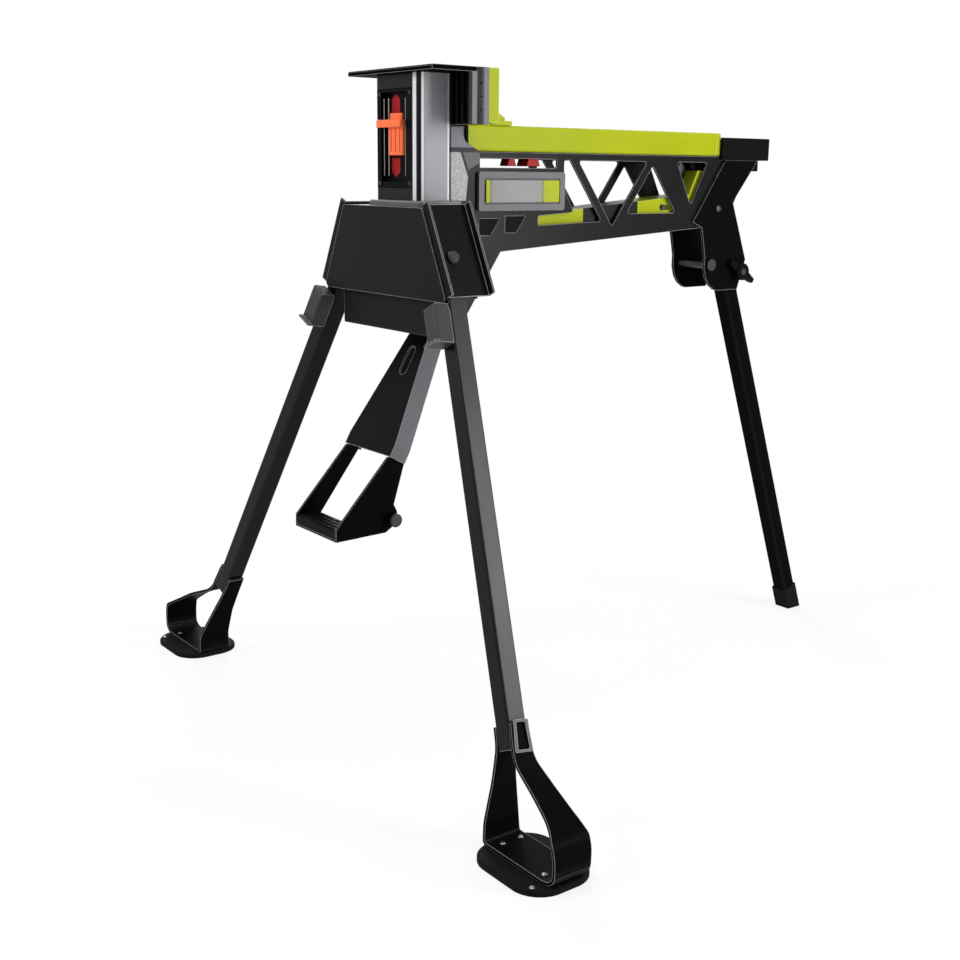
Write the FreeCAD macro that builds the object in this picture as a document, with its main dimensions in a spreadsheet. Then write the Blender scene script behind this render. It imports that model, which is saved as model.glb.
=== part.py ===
"""A portable folding workbench with a foot-worked clamp, in millimetres.

+X is the side of the bench that the user sees on the right, +Y runs rearwards along the clamp beam
and +Z is up. The origin lies on the floor in the middle of the standing bench. Pieces are drawn
about a datum of their own, the foot of the column's front face, and then placed in the bench.
"""
import FreeCAD, Part
import math
import os
import re
import Sketcher

os.makedirs("parts", exist_ok=True)
doc = FreeCAD.newDocument("Workbench")
sizes = doc.addObject("Spreadsheet::Sheet", "Sizes")

# Driving sizes, in millimetres and degrees. Heights are over the floor, and depths named ahead or
# back run from the column's front face.
DRIVING = {
    # The bench as a whole
    "column_ahead": 342,
    "fit_gap": 0.2,
    "run_gap": 0.4,
    "over_run": 2,
    # Head: deck, front cover, cross member and back plates
    "head_top": 704,
    "deck_sheet": 3,
    "cover_ahead": 26.5,
    "cover_sheet": 2,
    "cover_top_half": 91.5,
    "cover_low_half": 144,
    "cover_low": 592,
    "cover_corner": 7,
    "cross_half": 112,
    "cross_low": 545,
    "cross_ahead": 15,
    "cross_deep": 12,
    "cross_sheet": 2.5,
    "cross_bend": 2,
    "back_sheet": 2.5,
    "back_shoulder": 660,
    # Leg brackets
    "bracket_sheet": 2.5,
    "bracket_flange": 12.6,
    "bracket_back": 41,
    "bracket_bend": 2,
    # Front legs
    "leg_tube": 26,
    "leg_wall": 2,
    "leg_corner": 3,
    "leg_end_up": 108.2,
    "leg_head": 15,
    "leg_splay": 25.7,
    "leg_lean": 8.22,
    "leg_gap": 0.4,
    "pivot_out": 108.1,
    "pivot_ahead": 1.1,
    "pivot_up": 638,
    "pivot_bolt": 10,
    "pivot_head": 9,
    "pivot_head_tall": 5,
    "pivot_nut_tall": 6,
    # Feet
    "strap_sheet": 4,
    "strap_front": 133,
    "strap_wide": 51,
    "strap_over_in": 1,
    "strap_over_out": 3,
    "strap_in_bend": 18,
    "strap_out_bend": 57,
    "strap_low_bend": 7,
    "strap_corner": 15,
    "strap_in_top": 112,
    "strap_in_tab": 28,
    "strap_out_top": 150,
    "strap_out_tab": 20,
    "sole_tall": 7,
    "sole_in": 366,
    "sole_out": 490,
    "sole_front": 158.9,
    "sole_back": 60,
    "sole_corner": 37,
    "sole_edge": 2,
    "rivet_radius": 4,
    "rivet_tall": 1.6,
    "keeper_long": 11,
    "keeper_sheet": 2.5,
    "keeper_up": 50,
    # Leg latches
    "latch_deep": 22,
    "latch_long": 50,
    "latch_down": 60,
    "latch_wall": 3,
    "latch_lip": 5,
    "latch_edge": 3,
    "latch_relief": 2.6,
    "latch_relief_tall": 8,
    "latch_pin_deep": 7,
    "latch_pin_down": 9,
    "latch_pin_radius": 2,
    "latch_lug_half": 5,
    "latch_lug_radius": 3.5,
    # Column
    "column_half": 52,
    "column_front": 1.5,
    "column_back": 43.3,
    "column_foot": 711,
    "column_wall": 3,
    "column_corner": 9,
    "window_left": 47,
    "window_right": 34,
    "window_low": 726,
    "window_high": 849,
    "collar_half": 61,
    "collar_front": 8,
    "collar_back": 60,
    "collar_corner": 8,
    "collar_edge": 1.5,
    "plate_half": 50,
    "plate_sheet": 2.5,
    # Mode switch
    "bezel_sheet": 3,
    "slot_left": 39,
    "slot_right": 19,
    "slot_low": 734,
    "slot_high": 845,
    "slider_left": 19,
    "slider_right": 18,
    "slider_low": 767,
    "slider_high": 805,
    "slider_proud": 7,
    "slider_back": 7.6,
    "paddle_left": 45,
    "paddle_right": 22,
    "paddle_low": 801,
    "paddle_high": 811,
    "paddle_proud": 13,
    "paddle_behind": 1,
    "nub_left": 16,
    "nub_high": 819,
    "slider_edge": 1.5,
    "rail_sheet": 2.5,
    "pointer_half": 11,
    "pointer_tall": 25,
    "pointer_high": 844,
    "pointer_low": 764,
    "pointer_thick": 0.4,
    "screw_radius": 2.6,
    "screw_tall": 1,
    "screw_inset": 6,
    # Jaws
    "jaw_half": 95.7,
    "jaw_tall": 68,
    "jaw_dip": 2,
    "cap_tall": 6,
    "cap_front": 14,
    "cap_edge": 1.5,
    "jaw_front": 46.2,
    "jaw_plate": 7.8,
    "jaw_pad": 6,
    "jaw_gap": 0.4,
    "rib_deep": 5,
    "rib_thick": 3,
    "rib_pitch": 12,
    "pad_groove": 1.5,
    "pad_pitch": 16,
    "clamp_pad": 4,
    "clamp_plate": 7.6,
    "casting_deep": 16,
    "casting_web": 7,
    "casting_rim": 6,
    "casting_edge": 2,
    "shoe_half": 29,
    "shoe_long": 62,
    "shoe_tall": 5,
    "shoe_rib_tall": 44,
    "shoe_rib_thick": 5,
    "jaw_bolt_radius": 5,
    "jaw_bolt_tall": 3,
    # Head side plates
    "cheek_half": 52,
    "cheek_sheet": 3,
    "cheek_top": 803,
    "cheek_deep": 46,
    # Clamp beam
    "beam_half": 32,
    "beam_low": 773.6,
    "beam_tall": 33.4,
    "beam_wall": 2.5,
    "beam_front": 88,
    "beam_back": 552,
    "beam_corner": 4,
    "carrier_front": 50,
    "carrier_plug": 22,
    "carrier_wall": 3,
    "buffer_long": 4,
    "end_cap_long": 8,
    "end_plug_long": 16,
    "end_plug_wall": 3,
    "rack_half": 10,
    "rack_tall": 8.6,
    "rack_front": 96,
    "rack_back": 546,
    "tooth_pitch": 8,
    "tooth_deep": 4.5,
    # Truss
    "truss_half": 31,
    "truss_sheet": 3,
    "truss_top": 773,
    "chord_top_tall": 9,
    "chord_low_tall": 29.5,
    "chord_low_front": 113,
    "chord_low_up": 641,
    "chord_low_rise": 0.0655,
    "truss_foot": 548,
    "truss_foot_back": 79,
    "truss_heel": 144,
    "truss_end": 630,
    "truss_end_low": 700,
    "bay_start": 268,
    "bay_pitch": 154,
    "strut_wide": 12,
    "strut_foot": 663,
    "bay_corner": 3,
    "bay_front": 253,
    "bay_step": 727,
    "bay_sill_back": 272,
    "bay_slot_front": 208,
    "bay_slot_tall": 13,
    "rear_bay": 503,
    "rear_bay_half": 32,
    "rear_bay_low": 701,
    "sight_front": 108,
    "sight_back": 240,
    "sight_low": 753,
    "sight_high": 765,
    "recess_front": 107,
    "recess_pitch": 44,
    "recess_wide": 35,
    "recess_lean": 16,
    "recess_low": 665,
    "recess_tall": 22,
    "recess_deep": 1.5,
    "panel_front": 103,
    "panel_long": 148,
    "panel_low": 697,
    "panel_tall": 51,
    "panel_rim": 5,
    "panel_field": 2,
    "panel_rim_wide": 9,
    "panel_corner": 4,
    # Pull channel and pawls
    "channel_half": 24.5,
    "channel_sheet": 3,
    "channel_front": 58,
    "channel_back": 566,
    "channel_up": 678,
    "channel_rise": 0.0865,
    "channel_tall": 26,
    "channel_ear_low": 612,
    "channel_ear_long": 22,
    "block_front": 505,
    "block_top": 752,
    "block_lean": 17,
    "pull_stroke": 24.9,
    "pin_radius": 4,
    "slot_gap": 0.3,
    "front_pin_back": 150,
    "rear_pin_back": 450,
    "hold_back": 530,
    "hold_up": 722,
    "drive_back": 552,
    "drive_up": 736,
    "pawl_wide": 8,
    "pawl_inset": 1,
    "pawl_reach": 20,
    "pawl_eye": 7,
    "pawl_drop": 0.6,
    # Guide blocks under the beam
    "guide_front": 152,
    "guide_pitch": 48,
    "guide_long": 30,
    "guide_tall": 18,
    "guide_edge": 3,
    # Pedal
    "pedal_back": 57,
    "pedal_up": 572,
    "pedal_lean": 29.65,
    "pedal_sheet": 3,
    "pedal_ahead": 3.8,
    "pedal_deep": 26,
    "pedal_top_half": 21,
    "pedal_low_half": 55,
    "pedal_top_down": 38,
    "pedal_wide_down": 195,
    "pedal_web_down": 212,
    "pedal_slot_down": 61,
    "pedal_slot_long": 41,
    "pedal_slot_half": 8,
    "horn_back": 12,
    "horn_up": 52,
    "horn_eye": 9,
    "stirrup_down": 196,
    "stirrup_tall": 145,
    "tread_front": 131,
    "tread_deep": 34,
    "tread_low": 290.3,
    "tread_tall": 11,
    "tread_ridge": 2,
    "tread_pitch": 8,
    "peg_radius": 9,
    "peg_long": 12,
    # Rear bracket, saddle and leg
    "yoke_sheet": 4,
    "yoke_front": 491,
    "yoke_low": 568,
    "yoke_deep": 150,
    "yoke_tall": 200,
    "yoke_top": 768,
    "yoke_edge": 1,
    "saddle_front": 560,
    "saddle_long": 104,
    "saddle_half": 37,
    "saddle_gap": 0.6,
    "saddle_top": 800.8,
    "saddle_leg": 5,
    "saddle_drop": 11,
    "saddle_bridge": 5,
    "saddle_lip": 4,
    "rear_back": 611,
    "rear_up": 600,
    "rear_lean": 19.86,
    "rear_long": 624,
    "rear_head": 18,
    "rear_bolt": 10,
    "rear_head_radius": 9,
    "rear_head_tall": 6,
    "bush_radius": 9,
    "stop_back": 548,
    "stop_up": 612,
    "stop_radius": 6,
    "cup_wall": 1.2,
    "cup_tall": 30,
    "knob_radius": 13,
    "knob_tall": 12,
    "knob_wing": 30,
    "knob_wing_thick": 7,
    "knob_edge": 1.5,
}

for row, (alias, value) in enumerate(DRIVING.items(), start=1):
    sizes.set("A%d" % row, alias)
    sizes.set("B%d" % row, str(value))
    sizes.setAlias("B%d" % row, alias)
doc.recompute()

ALIAS = re.compile(r"\b[a-z]+(?:_[a-z]+)+\b")
SIDES = {"left": -1, "right": 1}


def linked(text):
    """An expression in the sheet's words, as the document's objects read it."""
    return ALIAS.sub(lambda word: "Sizes." + word.group(0), text)


def size(alias):
    """The value of one cell of the sheet."""
    return float(sizes.get(alias))


# Places and faces that several pieces share
WEB_IN = "(leg_tube / 2 + leg_gap)"
WEB_OUT = "(leg_tube / 2 + leg_gap + bracket_sheet)"
DECK_LOW = "(head_top - deck_sheet)"
DECK_HALF = ("(pivot_out + (leg_tube / 2 + leg_gap) / cos(leg_splay)"
             " - tan(leg_splay) * (head_top - pivot_up) - fit_gap)")
COVER_BACK = "(cover_sheet - cover_ahead)"
JAW_FACE = "(jaw_front + jaw_plate + jaw_pad)"
CLAMP_BACK = "(jaw_front + jaw_plate + jaw_pad + jaw_gap + clamp_pad + clamp_plate)"
BEAM_TOP = "(beam_low + beam_tall)"
JAW_LOW = "(beam_low + beam_tall - jaw_dip)"
JAW_TOP = "(beam_low + beam_tall - jaw_dip + jaw_tall)"
TRUSS_IN = "(truss_half - truss_sheet)"
CHANNEL_IN = "(channel_half - channel_sheet)"
COLUMN_TOP = "(beam_low + beam_tall - jaw_dip + jaw_tall - cap_tall - fit_gap)"
YOKE_OUT = "(truss_half + yoke_sheet)"
BOLT_RADIUS = "pivot_bolt / 2"
LATCH_PIN = ("(-leg_tube / 2 - latch_pin_deep)", "(-latch_down - latch_pin_down)")
LEG_LONG = "((pivot_up - leg_end_up) / cos(leg_splay) / cos(leg_lean))"


def chord_top(back):
    """Height of the low chord's upper edge at a depth."""
    return f"(chord_low_up + chord_low_rise * (({back}) - chord_low_front) + chord_low_tall)"


def channel_top(back):
    """Height of the pull channel's top sheet at a depth."""
    return f"(channel_up + channel_rise * (({back}) - channel_front))"


def web_line(up, offset):
    """How far out the slanting bracket plane, moved out by an offset, stands at a height."""
    return f"(pivot_out + ({offset}) / cos(leg_splay) - tan(leg_splay) * (({up}) - pivot_up))"


def jaw_height():
    """Height of the jaws' top edge over the floor."""
    return size("beam_low") + size("beam_tall") - size("jaw_dip") + size("jaw_tall")


def in_bench(item):
    """Places a piece that is drawn about the column's datum."""
    item.setExpression("Placement.Base.y", linked("-column_ahead"))
    return item


def in_leg(item, side, leaning=True):
    """Places a piece that is drawn about a front leg's pivot, along the leg or its bracket."""
    lean = -size("leg_lean") if leaning else 0
    item.Placement = FreeCAD.Placement(
        FreeCAD.Vector(side * size("pivot_out"), -size("pivot_ahead") - size("column_ahead"),
                       size("pivot_up")),
        FreeCAD.Rotation(0, -side * size("leg_splay"), lean))
    return item


def in_pedal(item):
    """Places a piece that is drawn about the pedal's hinge, along its arm."""
    item.Placement = FreeCAD.Placement(
        FreeCAD.Vector(0, size("pedal_back") - size("column_ahead"), size("pedal_up")),
        FreeCAD.Rotation(0, 0, -size("pedal_lean")))
    return item


def in_rear(item):
    """Places a piece that is drawn about the rear leg's hinge, along the leg."""
    item.Placement = FreeCAD.Placement(
        FreeCAD.Vector(0, size("rear_back") - size("column_ahead"), size("rear_up")),
        FreeCAD.Rotation(0, 0, size("rear_lean")))
    return item


def piece(label):
    """A new piece of the bench, empty until its features are added."""
    body = doc.addObject("PartDesign::Body", label)
    body.Label = label
    return body


def rectangle(left, low, right, high):
    """The four corners of a rectangle."""
    return [(left, low), (right, low), (right, high), (left, high)]


def about(half, low, high):
    """A rectangle that lies evenly about the middle."""
    return rectangle(f"-({half})", low, half, high)


def sketch_at(body, plane, offset):
    """A sketch on one of the piece's own planes, moved along the plane's normal."""
    sketch = body.newObject("Sketcher::SketchObject", body.Name + "_" + plane.lower())
    role = plane + "_Plane"
    origin = next(item for item in body.Origin.OriginFeatures if item.Role == role)
    sketch.AttachmentSupport = (origin, [""])
    sketch.MapMode = "FlatFace"
    sketch.setExpression("AttachmentOffset.Base.z", linked(offset))
    return sketch


def hold(sketch, kind, entity, point, text, start):
    """One sketch dimension from the origin, tied to the sheet."""
    index = sketch.addConstraint(Sketcher.Constraint(kind, -1, 1, entity, point, start))
    sketch.setExpression("Constraints[%d]" % index, linked(text))


def draw_outline(sketch, corners):
    """A closed outline of straight edges, each corner at two tied dimensions."""
    count = len(corners)
    ring = [FreeCAD.Vector(math.cos(2 * math.pi * i / count), math.sin(2 * math.pi * i / count), 0)
            for i in range(count)]
    lines = [sketch.addGeometry(Part.LineSegment(ring[i], ring[(i + 1) % count]), False)
             for i in range(count)]
    for i in range(count):
        sketch.addConstraint(
            Sketcher.Constraint("Coincident", lines[i], 2, lines[(i + 1) % count], 1))
    for line, start, (across, along) in zip(lines, ring, corners):
        hold(sketch, "DistanceX", line, 1, across, start.x)
        hold(sketch, "DistanceY", line, 1, along, start.y)


def draw_circle(sketch, across, along, radius):
    """A circle whose centre and radius are tied dimensions."""
    circle = sketch.addGeometry(
        Part.Circle(FreeCAD.Vector(1, 1, 0), FreeCAD.Vector(0, 0, 1), 1), False)
    hold(sketch, "DistanceX", circle, 3, across, 1)
    hold(sketch, "DistanceY", circle, 3, along, 1)
    index = sketch.addConstraint(Sketcher.Constraint("Radius", circle, 1))
    sketch.setExpression("Constraints[%d]" % index, linked(radius))


def run(body, plane, draw, low, high, cut):
    """Pads or pockets what draw puts into a sketch, from low to high along the plane's axis."""
    if plane == "XZ":
        offset = f"-({low})" if cut else f"-({high})"
    else:
        offset = high if cut else low
    sketch = sketch_at(body, plane, offset)
    draw(sketch)
    kind = "Pocket" if cut else "Pad"
    feature = body.newObject("PartDesign::" + kind,
                             body.Name + ("_hollow" if cut else "_solid"))
    feature.Profile = sketch
    feature.setExpression("Length", linked(f"({high}) - ({low})"))
    return feature


def slab(body, plane, corners, low, high, cut=False):
    """A straight-edged outline, padded or cut between two faces."""
    return run(body, plane, lambda sketch: draw_outline(sketch, corners), low, high, cut)


def disc(body, plane, across, along, radius, low, high, cut=False):
    """A round pad or hole between two faces."""
    return run(body, plane, lambda sketch: draw_circle(sketch, across, along, radius),
               low, high, cut)


def oblong(body, plane, start, end, along, radius, low, high):
    """A slot with round ends, cut between two faces, its ends' centres at start and end."""
    slab(body, plane, rectangle(start, f"{along} - ({radius})", end, f"{along} + ({radius})"),
         low, high, cut=True)
    for centre in (start, end):
        disc(body, plane, centre, along, radius, low, high, cut=True)


def finish_edges(body, kind, measure, chosen):
    """Fillets or chamfers the edges of the piece so far that the test picks."""
    doc.recompute()
    tip = body.Tip
    names = ["Edge%d" % number for number, edge in enumerate(tip.Shape.Edges, start=1)
             if chosen(edge)]
    feature = body.newObject("PartDesign::" + kind, body.Name + "_" + kind.lower())
    feature.Base = (tip, names)
    feature.setExpression("Radius" if kind == "Fillet" else "Size", linked(measure))
    return feature


def runs_along(edge, axis):
    """Whether an edge is straight and parallel to an axis, given as x, y or z."""
    ends = [vertex.Point for vertex in edge.Vertexes]
    if len(ends) < 2 or not isinstance(edge.Curve, Part.Line):
        return False
    line = ends[1] - ends[0]
    return abs(getattr(line, axis)) > 0.999 * line.Length


def middle(edge):
    """The middle point of an edge."""
    return edge.valueAt((edge.FirstParameter + edge.LastParameter) / 2)


def primitive(kind, name, place, turn=None, **measures):
    """A box, cylinder or cone tied to the sheet; place is where its own corner or foot lies."""
    item = doc.addObject("Part::" + kind, name)
    for measure, text in measures.items():
        item.setExpression(measure, linked(text))
    if turn:
        item.Placement.Rotation = turn
    for axis, text in zip("xyz", place):
        item.setExpression("Placement.Base." + axis, linked(text))
    return item


def group(label, items):
    """Like pieces that share one name, each a solid of its own."""
    together = doc.addObject("Part::Compound", label)
    together.Label = label
    together.Links = items
    return together


ALONG_X = FreeCAD.Rotation(FreeCAD.Vector(0, 1, 0), 90)
ALONG_Y = FreeCAD.Rotation(FreeCAD.Vector(1, 0, 0), -90)


def head_deck():
    """The flat top of the head, between the two leg brackets."""
    body = piece("head_deck")
    slab(body, "XY", about(DECK_HALF, COVER_BACK, "bracket_back + back_sheet"), DECK_LOW, "head_top")
    return in_bench(body)


def front_cover():
    """The pressed front cover, wider at its foot, with rounded corners."""
    body = piece("front_cover")
    slab(body, "XZ",
         [("-cover_low_half", "cover_low"), ("cover_low_half", "cover_low"),
          ("cover_top_half", "head_top"), ("-cover_top_half", "head_top")],
         "-cover_ahead", COVER_BACK)
    finish_edges(body, "Fillet", "cover_corner", lambda edge: runs_along(edge, "y"))
    return in_bench(body)


def cross_member():
    """The channel under the cover, open to the rear, with rolled front edges."""
    body = piece("cross_member")
    high = "(cover_low - fit_gap)"
    slab(body, "YZ", rectangle("-cross_ahead", "cross_low", "cross_deep - cross_ahead", high),
         "-cross_half", "cross_half")
    slab(body, "YZ",
         rectangle("cross_sheet - cross_ahead", "cross_low + cross_sheet",
                   "cross_deep - cross_ahead + over_run", high + " - cross_sheet"),
         "-cross_half - over_run", "cross_half + over_run", cut=True)
    front = -size("cross_ahead")
    finish_edges(body, "Fillet", "cross_bend",
                 lambda edge: runs_along(edge, "x") and middle(edge).y < front + size("fit_gap"))
    return in_bench(body)


def head_back(name, side):
    """One rear wing of the head: it steps in below the shoulder, where the leg folds past."""
    body = piece("head_back_" + name)
    leg_in = "-(leg_tube / 2 + leg_gap * 2)"
    corners = [("truss_half + fit_gap", DECK_LOW),
               (web_line(DECK_LOW, WEB_IN), DECK_LOW),
               (web_line("back_shoulder", WEB_IN), "back_shoulder"),
               (web_line("back_shoulder", leg_in), "back_shoulder"),
               (web_line("cover_low", leg_in), "cover_low"),
               ("truss_half + fit_gap", "cover_low")]
    slab(body, "XZ", [(f"{side} * ({across})", up) for across, up in corners],
         "bracket_back", "bracket_back + back_sheet")
    return in_bench(body)


def leg_bracket(name, side):
    """One slanting channel that carries a front leg, its flanges turned outwards."""
    body = piece("leg_bracket_" + name)
    front = f"({COVER_BACK} + pivot_ahead)"
    back = "(bracket_back + pivot_ahead)"
    corners = [(WEB_IN, front),
               (WEB_IN + " + bracket_flange", front),
               (WEB_IN + " + bracket_flange", front + " + bracket_sheet"),
               (WEB_OUT, front + " + bracket_sheet"),
               (WEB_OUT, back + " - bracket_sheet"),
               (WEB_IN + " + bracket_flange", back + " - bracket_sheet"),
               (WEB_IN + " + bracket_flange", back),
               (WEB_IN, back)]
    slab(body, "XY", [(f"{side} * ({across})", along) for across, along in corners],
         "(cover_low - pivot_up) / cos(leg_splay)", f"({DECK_LOW} - pivot_up) / cos(leg_splay)")
    faces = sorted([f"{side} * ({WEB_IN} - over_run)", f"{side} * ({WEB_OUT} + over_run)"],
                   reverse=side < 0)
    disc(body, "YZ", "0", "0", BOLT_RADIUS, faces[0], faces[1], cut=True)
    web = side * (size("leg_tube") / 2 + size("leg_gap"))
    finish_edges(body, "Fillet", "bracket_bend",
                 lambda edge: runs_along(edge, "z") and abs(middle(edge).x - web) < size("fit_gap"))
    return in_leg(body, side, leaning=False)


def column_collar():
    """The pressed collar at the column's foot, open at the rear."""
    body = piece("column_collar")
    inside = "(column_half - cheek_sheet + over_run / 2)"
    slab(body, "XY", about("collar_half", "-collar_front", "collar_back"), "head_top", "column_foot")
    finish_edges(body, "Fillet", "collar_corner", lambda edge: runs_along(edge, "z"))
    finish_edges(body, "Chamfer", "collar_edge",
                 lambda edge: middle(edge).z > size("column_foot") - size("fit_gap"))
    slab(body, "XY", about(inside, "column_front", "collar_back + over_run"),
         "head_top - over_run", "column_foot + over_run", cut=True)
    return in_bench(body)


def column():
    """The hollow column, open to the rear, with a window for the mode switch."""
    body = piece("column")
    inside = "(column_half - column_wall)"
    slab(body, "XY", about("column_half", "-column_front", "column_back"), "column_foot", COLUMN_TOP)
    front = -size("column_front")
    finish_edges(body, "Fillet", "column_corner",
                 lambda edge: runs_along(edge, "z") and middle(edge).y < front + size("fit_gap"))
    slab(body, "XY", about(inside, "column_wall - column_front", "column_back + over_run"),
         "column_foot - over_run", COLUMN_TOP + " - column_wall", cut=True)
    slab(body, "XZ", rectangle("-window_left", "window_low", "window_right", "window_high"),
         "-column_front - over_run", "column_wall - column_front + over_run", cut=True)
    return in_bench(body)


def column_plate():
    """The plate that closes the column's rear and carries the fixed jaw."""
    body = piece("column_plate")
    slab(body, "XZ", about("plate_half", "column_foot", COLUMN_TOP), "column_back + fit_gap",
         "column_back + fit_gap + plate_sheet")
    return in_bench(body)


def switch_bezel():
    """The switch's panel in the column's window, with a tall slot."""
    body = piece("switch_bezel")
    back = "(column_wall - column_front)"
    slab(body, "XZ",
         rectangle("fit_gap - window_left", "window_low + fit_gap",
                   "window_right - fit_gap", "window_high - fit_gap"),
         back + " - bezel_sheet + column_front", back + " + column_front")
    slab(body, "XZ", rectangle("-slot_left", "slot_low", "slot_right", "slot_high"),
         "-over_run", back + " + column_front + over_run", cut=True)
    return in_bench(body)


def switch_rail():
    """The rail behind the slot, on which the slider runs."""
    body = piece("switch_rail")
    slab(body, "XZ", rectangle("-window_left", "window_low", "window_right", "window_high"),
         "slider_back + run_gap + pointer_thick", "slider_back + run_gap + pointer_thick + rail_sheet")
    lug = "(bezel_sheet + fit_gap)"
    behind = "slider_back + run_gap + pointer_thick"
    for low, high in (("window_low", "slot_low"), ("slot_high", "window_high")):
        slab(body, "XZ", rectangle("-window_left", low, "window_right", high), lug,
             behind + " + rail_sheet / 2")
    return in_bench(body)


def mode_slider():
    """The slider: a tall body, a nub over it and a paddle to the left for the thumb."""
    body = piece("mode_slider")
    slab(body, "XZ", rectangle("-slider_left", "slider_low", "slider_right", "slider_high"),
         "-slider_proud", "slider_back")
    slab(body, "XZ", rectangle("-nub_left", "slider_high - slider_edge", "slider_right", "nub_high"),
         "-slider_proud", "slider_back")
    slab(body, "XZ", rectangle("-paddle_left", "paddle_low", "paddle_right", "paddle_high"),
         "-paddle_proud", "-paddle_behind")
    front = -size("paddle_proud")
    finish_edges(body, "Fillet", "slider_edge",
                 lambda edge: middle(edge).y < front + size("fit_gap"))
    return in_bench(body)


def mode_marks():
    """Two plain pointed strips over and under the slider."""
    face = "(slider_back + run_gap)"
    strips = []
    for number, (tip, foot) in enumerate((("pointer_high", "pointer_high - pointer_tall"),
                                          ("pointer_low - pointer_tall", "pointer_low"))):
        body = doc.addObject("PartDesign::Body", "mode_strip_%d" % number)
        neck = f"({tip} + ({foot} - ({tip})) / 3)"
        slab(body, "XZ",
             [("-pointer_half", foot), ("pointer_half", foot), ("pointer_half", neck), ("0", tip),
              ("-pointer_half", neck)],
             face, face + " + pointer_thick")
        strips.append(in_bench(body))
    return group("mode_marks", strips)


def bezel_screws():
    """A round-headed screw in each corner of the switch's panel."""
    screws = []
    for number in range(4):
        across = "screw_inset - window_left" if number % 2 else "window_right - screw_inset"
        up = "window_low + screw_inset" if number < 2 else "window_high - screw_inset"
        screws.append(primitive("Cylinder", "bezel_screw_%d" % number,
                                (across, "-screw_tall - column_ahead", up), ALONG_Y,
                                Radius="screw_radius", Height="screw_tall"))
    return group("bezel_screws", screws)


def jaw_cap():
    """The flat cap over the column and the fixed jaw."""
    body = piece("jaw_cap")
    slab(body, "XY", about("jaw_half", "-cap_front", "jaw_front + jaw_plate"),
         JAW_TOP + " - cap_tall", JAW_TOP)
    high = jaw_height() - size("fit_gap")
    finish_edges(body, "Chamfer", "cap_edge",
                 lambda edge: runs_along(edge, "x") and middle(edge).z > high
                 and middle(edge).y < 0)
    return in_bench(body)


def fixed_jaw():
    """The fixed jaw's wing plate, with upright ribs on the front of both wings."""
    body = piece("fixed_jaw")
    high = f"({JAW_TOP} - cap_tall)"
    slab(body, "XZ", about("jaw_half", JAW_LOW, high), "jaw_front", "jaw_front + jaw_plate")
    for side in (-1, 1):
        for number in range(4):
            near = f"(jaw_half - rib_pitch * {number})"
            edges = [f"{side} * ({near} - rib_thick)", f"{side} * {near}"]
            edges = edges if side > 0 else edges[::-1]
            slab(body, "XZ", rectangle(edges[0], JAW_LOW, edges[1], high),
                 "jaw_front - rib_deep", "jaw_front + jaw_plate / 2")
    return in_bench(body)


def grooved_pad(label, front, deep, face):
    """A jaw's facing with level grooves cut along its gripping face."""
    body = piece(label)
    slab(body, "XZ", about("jaw_half", JAW_LOW, JAW_TOP), front, f"{front} + {deep}")
    for number in range(1, 4):
        up = f"({JAW_LOW} + pad_pitch * {number})"
        if face == "back":
            low, high = f"{front} + {deep} - pad_groove", f"{front} + {deep} + over_run"
        else:
            low, high = f"{front} - over_run", f"{front} + pad_groove"
        slab(body, "XZ", about("jaw_half + over_run", up, up + " + pad_groove"), low, high, cut=True)
    return in_bench(body)


def moving_jaw_plate():
    """The steel plate between the moving jaw's facing and its casting."""
    body = piece("moving_jaw_plate")
    front = f"({JAW_FACE} + jaw_gap + clamp_pad)"
    slab(body, "XZ", about("jaw_half", JAW_LOW, JAW_TOP), front, front + " + clamp_plate")
    return in_bench(body)


def moving_jaw():
    """The jaw casting: a web with a raised rim and ribs behind, and a ribbed shoe on the beam."""
    body = piece("moving_jaw")
    low = f"({BEAM_TOP} + fit_gap)"
    back = f"({CLAMP_BACK} + casting_deep)"
    slab(body, "XZ", about("jaw_half", low, JAW_TOP), CLAMP_BACK, back)
    high_edge = jaw_height() - size("fit_gap")
    finish_edges(body, "Fillet", "casting_edge",
                 lambda edge: runs_along(edge, "x") and middle(edge).z > high_edge
                 and middle(edge).y > size("beam_front") - size("casting_rim"))
    bay = "((jaw_half * 2 - casting_rim * 5) / 4)"
    for number in range(4):
        left = f"(casting_rim - jaw_half + {number} * ({bay} + casting_rim))"
        slab(body, "XZ",
             rectangle(left, low + " + casting_rim", left + f" + {bay}",
                       JAW_TOP + " - casting_rim"),
             f"{CLAMP_BACK} + casting_web", back + " + over_run", cut=True)
    slab(body, "XY", about("shoe_half", CLAMP_BACK, back + " + shoe_long"), BEAM_TOP,
         BEAM_TOP + " + shoe_tall")
    for left in ("-shoe_half", "-shoe_rib_thick / 2", "shoe_half - shoe_rib_thick"):
        slab(body, "YZ",
             [(back + " - casting_web", BEAM_TOP), (back + " + shoe_long", BEAM_TOP),
              (back + " + shoe_long", BEAM_TOP + " + shoe_tall * 2"),
              (back + " + casting_edge", BEAM_TOP + " + shoe_rib_tall"),
              (back + " - casting_web", BEAM_TOP + " + shoe_rib_tall")],
             left, left + " + shoe_rib_thick")
    return in_bench(body)


def jaw_bolts():
    """Four flat-headed bolts that hold the shoe to the beam."""
    bolts = []
    for number in range(4):
        across = "shoe_half / 2" if number % 2 else "-shoe_half / 2"
        share = "0.4" if number < 2 else "0.8"
        bolts.append(primitive(
            "Cylinder", "jaw_bolt_%d" % number,
            (across, f"{CLAMP_BACK} + casting_deep + shoe_long * {share} - column_ahead",
             BEAM_TOP + " + shoe_tall"),
            Radius="jaw_bolt_radius", Height="jaw_bolt_tall"))
    return group("jaw_bolts", bolts)


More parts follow.
